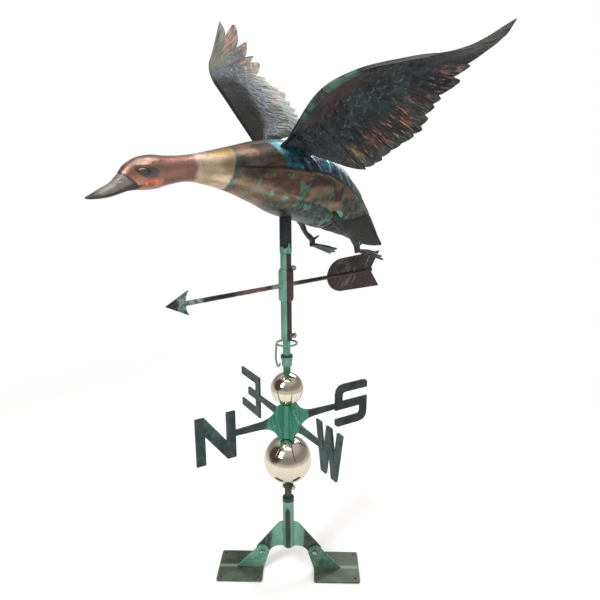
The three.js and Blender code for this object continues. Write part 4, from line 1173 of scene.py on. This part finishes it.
def plate_mesh(outline, low, high):
    """Flat plate standing in XZ from one y to another, made by filling the outline."""
    made = bmesh.new()
    front = [made.verts.new((x * MM, low * MM, (z + FLOOR) * MM)) for x, z in outline]
    face = made.faces.new(front)
    grown = bmesh.ops.extrude_face_region(made, geom=[face])
    moved = [v for v in grown["geom"] if isinstance(v, bmesh.types.BMVert)]
    bmesh.ops.translate(made, verts=moved, vec=(0, (high - low) * MM, 0))
    bmesh.ops.recalc_face_normals(made, faces=made.faces)
    made.verts.index_update()
    points = np.array([v.co[:] for v in made.verts]) / MM
    faces = [tuple(v.index for v in f.verts) for f in made.faces]
    made.free()
    return points, faces


def make_ridge_mount(material):
    socket = [
        (0.01, SOCKET_END), (11.6, SOCKET_END), (12.8, SOCKET_END + 1.2), (12.8, 174.4), (13.2, 175),
        (13.4, 175.6), (13.4, SOCKET_TOP - 0.8), (12.7, SOCKET_TOP), (HOLE, SOCKET_TOP),
        (HOLE, SOCKET_FLOOR), (0.01, SOCKET_FLOOR),
    ]
    tube = turned(at_floor(socket))
    plate = plate_mesh(arch_outline(), -3, 5)
    made = smooth_object(
        "ridge_mount", *joined(tube, plate), material, "stand", ["roof_mount"], "verdigris", 35
    )
    return soften(made, 0.7)


def mount_dark(s):
    """Dark stripe down the front of the socket and dark outer ends of the arms."""
    x, y, z = s.parts()
    from_stripe = abs(x + 0.0008)
    stripe = s.ramp(from_stripe, 0.0066, 0.005) * s.ramp(y, -0.008, -0.0095)
    stripe = stripe * s.ramp(z + from_stripe * 2.5, 0.118, 0.1)
    side = abs(x) + x * 0.1
    arms = s.ramp(side, -0.02, 0.09) * s.ramp(z, -0.05, -0.01)
    rim = s.ramp(z, 0.1185, 0.121)
    return s.max(s.max(stripe, arms), rim)


def foot_patina(name, greens):
    """Olive plate, painted lighter on its front half as a highlight, with a brown glow before the ear, a
    pale line beyond it painted as the highlight of a fold, and a green ear.
    """
    s = Shade(name)
    x, y, z = s.parts()
    cloud = s.noise(14, 6, 0.65, distort=0.5)
    fine = s.noise(90, 5, 0.7)
    out = abs(x)
    base = s.tones(cloud, 0.38, 0.64, (0.03, 0.04, 0.03), (0.075, 0.09, 0.066))
    # painted highlight: the front half of the plate is lighter
    base = s.tones(
        y, 0.02, -0.045, base, s.tones(cloud, 0.4, 0.62, (0.055, 0.07, 0.052), (0.11, 0.13, 0.1))
    )
    glow = s.band(y, -0.03, -0.012, -0.006, -0.003)
    glow = glow * s.ramp(out, 0.125, 0.085) * s.ramp(cloud, 0.35, 0.55)
    base = s.mix(glow * 0.8, base, (0.13, 0.115, 0.062))
    # painted highlight: pale line along the middle of the plate where a fold would catch the light
    line = s.ramp(abs(y + 0.004), 0.008, 0.001) * s.ramp(out, 0.116, 0.124)
    base = s.mix(line * 0.75, base, (0.2, 0.27, 0.22))
    base = s.mix(s.ramp(fine, 0.6, 0.7) * 0.35, base, (0.14, 0.16, 0.13))
    tone = cloud * 0.7 + fine * 0.3
    base = s.tones(z, -0.0538, -0.0525, base, s.tones(tone, 0.42, 0.6, *greens))
    rough = s.between(cloud, 0.34, 0.56)
    return s.finish(base, rough, 0.3, s.bump(fine + cloud, 0.2, 0.0006), 0.35)


def pole_green(s):
    """Green on the pole above the lock collar, and a little under it."""
    z = s.parts()[2]
    above = s.ramp(z, 0.466, 0.47) * 0.9
    under = s.band(z, 0.4, 0.41, 0.46, 0.466) * 0.45
    return s.max(above, under)


def stem_green(s):
    """Broken green at the foot of the stem."""
    z = s.parts()[2]
    ragged = (s.noise(60, 4, 0.7) - 0.5) * 0.05
    return s.ramp(z + ragged, 0.708, 0.698) * 0.85


# Safety wire, bent in one piece round the foot of the turning tube


def make_wire(material):
    level = TUBE_END - 7
    ring = [(x, y, level) for x, y in arc((0, 0), WIRE_RING, 190, 520, 22)]
    hook = [
        (-11.4 - 2.2 - GAP, -6, CUP_Z + 7), (-19, -6, CUP_Z + 1), (-23, -6, CUP_Z + 18),
        (-22, -5, level - 8),
    ]
    line = bpy.data.curves.new("safety_wire_line", "CURVE")
    line.dimensions = "3D"
    line.bevel_depth = WIRE_RADIUS * MM
    line.bevel_resolution = 5
    line.use_fill_caps = True
    spline = line.splines.new("POLY")
    points = through(hook + ring, np.linspace(0, 1, 160))
    spline.points.add(len(points) - 1)
    for point, (x, y, z) in zip(spline.points, points):
        point.co = (x * MM, y * MM, (z + FLOOR) * MM, 1)
    line.materials.append(material)
    made = in_scene("safety_wire_form", line)
    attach(made, "stand")
    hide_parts("safety_wire")
    return made


# Pieces

tube_green = verdigris("tube_patina", turn_mask(-80, 40))
sleeve_green = verdigris("sleeve_patina", turn_mask(-82, 60))
hub_green = verdigris("hub_patina", lightness=0.9, greens=((0.04, 0.2, 0.14), (0.12, 0.42, 0.3)))
cup_green = verdigris("cup_patina", lambda s: s.ramp(s.parts()[2], 0.4655, 0.4675), SOOT)
mount_green = verdigris("mount_patina", mount_dark, (0.02, 0.024, 0.02))
wire_green = verdigris("wire_patina", lightness=0.8)
stem_dark = dark_patina("stem_patina", stem_green, (0.006, 0.008, 0.012), (0.022, 0.03, 0.034))
letter_dark = dark_patina("letter_patina", near_axis(0.03, 0.075), greens=ARM_GREENS)
letter_black = dark_patina(
    "south_patina", near_axis(0.03, 0.075), (0.009, 0.014, 0.015), (0.032, 0.046, 0.047), ARM_GREENS
)
pole_dark = dark_patina("pole_patina", pole_green, (0.02, 0.028, 0.018), (0.055, 0.075, 0.048))
collar_dark = dark_patina("collar_patina", dark=(0.016, 0.022, 0.014), light=(0.04, 0.055, 0.033))
foot_left = foot_patina("left_foot_patina", (GREEN, GREEN_PALE))
foot_right = foot_patina("right_foot_patina", ((0.035, 0.095, 0.068), (0.1, 0.21, 0.15)))
nickel = polished("polished_nickel")
steel = bright_steel("fastener_steel")
bronze = umber_bronze("leg_bronze", teal=1)
arrow_bronze = umber_bronze("arrow_bronze", arrow=True)
vane_bronze = umber_bronze("arrow_feather_bronze", lined=True)

pole_profile = [(0.01, POLE_END), (POLE, POLE_END), (POLE, POLE_TOP), (0.01, POLE_TOP)]
collar_profile = ring_profile(HOLE, 12.5, COLLAR_END, COLLAR_TOP, 1.0)
hub_profile = ring_profile(HOLE, 12.2, HUB_Z, HUB_TOP)
tube_profile = ring_profile(BORE, 11.5, TUBE_END, TUBE_TOP, 0.8)
big_profile = ball_profile(BIG, BIG_Z)
small_profile = ball_profile(SMALL, SMALL_Z)
make_turned("pole_rod", "pole", pole_profile, pole_dark, "stand", "dark_patina")
make_turned("lower_collar_form", "lower_collar", collar_profile, collar_dark, "stand", "dark_patina")
make_turned("big_ball_form", "big_ball", big_profile, nickel, "stand", "nickel", 128)
make_turned("small_ball_form", "small_ball", small_profile, nickel, "stand", "nickel", 112)
make_turned("hub_form", "compass_hub", hub_profile, hub_green, "stand", "verdigris")
make_turned("lock_collar_form", "lock_collar", cup_profile(), cup_green, "stand", "verdigris")
make_turned("tube_form", "turning_tube", tube_profile, tube_green, "vane", "verdigris")
make_turned("sleeve_form", "arrow_sleeve", sleeve_profile(11.8), sleeve_green, "vane", "verdigris")
make_turned("stem_form", "duck_stem", stem_profile(), stem_dark, "vane", "dark_patina")
smooth_object("shaft_form", *shaft_mesh(), arrow_bronze, "vane", ["arrow_shaft"], "bronze", 35)
make_ridge_mount(mount_green)
make_wire(wire_green)
make_duck(duck_material("duck_copper"))
make_wing("left", near_wing_material("near_wing_copper"))
make_wing("right", far_wing_material("far_wing_copper"))
make_leg("left", bronze)
make_leg("right", bronze)

# CAD nodes that keep their shape: material, width of the softened edges, and names
KEPT = [
    (foot_left, 0.5, ["left_foot"]),
    (foot_right, 0.5, ["right_foot"]),
    (steel, 0.5, ["left_pivot_bolt", "right_pivot_bolt", "left_pivot_nut", "right_pivot_nut"]),
    (letter_black, 0.5, ["arm_south"]),
    (letter_dark, 0.5, ["arm_east", "arm_north", "arm_west"]),
    (steel, 0.4, ["collar_screw", "hub_screw", "lower_tube_screw", "upper_tube_screw"]),
    (arrow_bronze, 0.5, ["arrow_head"]),
    (vane_bronze, 0.4, ["arrow_feather_upper", "arrow_feather_lower"]),
]
for material, width, names in KEPT:
    for name in names:
        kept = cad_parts[name]
        kept.data.materials.clear()
        kept.data.materials.append(material)
        soften(kept, width)

# Camera, floor and light

# Place and directions fitted to the photograph, and the focal length in pixels of its 600 pixel frame
CAMERA = Vector((59.2, -1068.4, 896.3 + FLOOR)) * MM
FOCAL_PIXELS = 523
FRAME_PIXELS = 600
SENSOR = 36
ahead = Vector((-0.02755, 0.97418, -0.22410)).normalized()
right = Vector((0.99962, 0.02729, -0.00425))
right = (right - ahead * right.dot(ahead)).normalized()
up = right.cross(ahead)
lens = bpy.data.cameras.new("camera")
lens.lens = FOCAL_PIXELS / FRAME_PIXELS * SENSOR
lens.sensor_width = SENSOR
camera = in_scene("camera", lens)
basis = Matrix((right, up, -ahead)).transposed().to_4x4()
camera.matrix_world = Matrix.Translation(CAMERA) @ basis
bpy.context.scene.camera = camera


def floor_material():
    """Pale floor that fades out far from the object."""
    s = Shade("floor_paint")
    tint = s.mix(s.noise(3, 3, 0.5), (0.86, 0.86, 0.86), (0.9, 0.9, 0.9))
    s.put(s.bsdf.inputs["Alpha"], s.ramp(s.from_axis(), 1.9, 0.7))
    return s.finish(tint, 0.9, 0.0)


def make_floor():
    sides = 96
    points = [(0, 0, FLOOR * MM)]
    for k in range(sides):
        a = 2 * math.pi * k / sides
        points.append((2.5 * math.cos(a), 2.5 * math.sin(a), FLOOR * MM))
    faces = [(0, k + 1, (k + 1) % sides + 1) for k in range(sides)]
    mesh = bpy.data.meshes.new("floor")
    mesh.from_pydata(points, [], faces)
    made = in_scene("floor", mesh)
    mesh.materials.append(floor_material())


# Brightness of the room by height, from straight down to straight up
ROOM = [(0.0, 0.8), (0.47, 0.7), (0.53, 0.38), (0.72, 0.32), (0.86, 0.6), (1.0, 0.75)]


def studio_world():
    """White to the camera, and a soft grey room with a darker band for light and reflections."""
    world = bpy.data.worlds.new("studio")
    world.use_nodes = True
    w = Nodes(world.node_tree, "Generated")
    bands = w.tree.nodes.new("ShaderNodeValToRGB")
    w.put(bands.inputs[0], w.between(w.parts()[2], 0.0, 1.0, -1.0, 1.0))
    while len(bands.color_ramp.elements) < len(ROOM):
        bands.color_ramp.elements.new(0.5)
    for element, (height, value) in zip(bands.color_ramp.elements, ROOM):
        element.position = height
        element.color = (value, value * 0.98, value * 0.95, 1)
    # a brown patch on one side, seen in the balls
    brown_side = Vector((-0.8, -0.25, 0.45)).normalized()
    inputs = [(0, w.place), (1, brown_side)]
    toward = w.node("ShaderNodeVectorMath", inputs, output="Value", operation="DOT_PRODUCT")
    room = w.tones(toward, 0.72, 0.9, Number(w, bands.outputs[0]), (0.1, 0.075, 0.055))
    seen = w.node("ShaderNodeLightPath", output="Is Camera Ray")
    background = w.tree.nodes["Background"]
    w.put(background.inputs[0], w.mix(seen, room, (1, 1, 1)))
    background.inputs[1].default_value = 1.0
    bpy.context.scene.world = world


def area_light(name, place, target, size, power):
    data = bpy.data.lights.new(name, "AREA")
    data.shape = "RECTANGLE"
    data.size, data.size_y = size
    data.energy = power
    made = in_scene(name, data)
    made.location = place
    made.rotation_mode = "QUATERNION"
    made.rotation_quaternion = (Vector(target) - Vector(place)).to_track_quat("-Z", "Y")
    return made


make_floor()
studio_world()
area_light("key", (-1.5, -1.9, 2.3), (0, 0, 0.6), (0.9, 1.5), 62)
area_light("fill", (1.9, -1.6, 1.3), (0, 0, 0.5), (1.3, 2.2), 26).visible_glossy = False
area_light("rim", (0.9, 2.0, 2.2), (0, 0, 0.8), (1.2, 1.2), 34)
area_light("top", (0.0, -0.2, 2.9), (0, 0, 0.5), (1.6, 1.6), 26)

bpy.context.scene.view_settings.view_transform = "Standard"
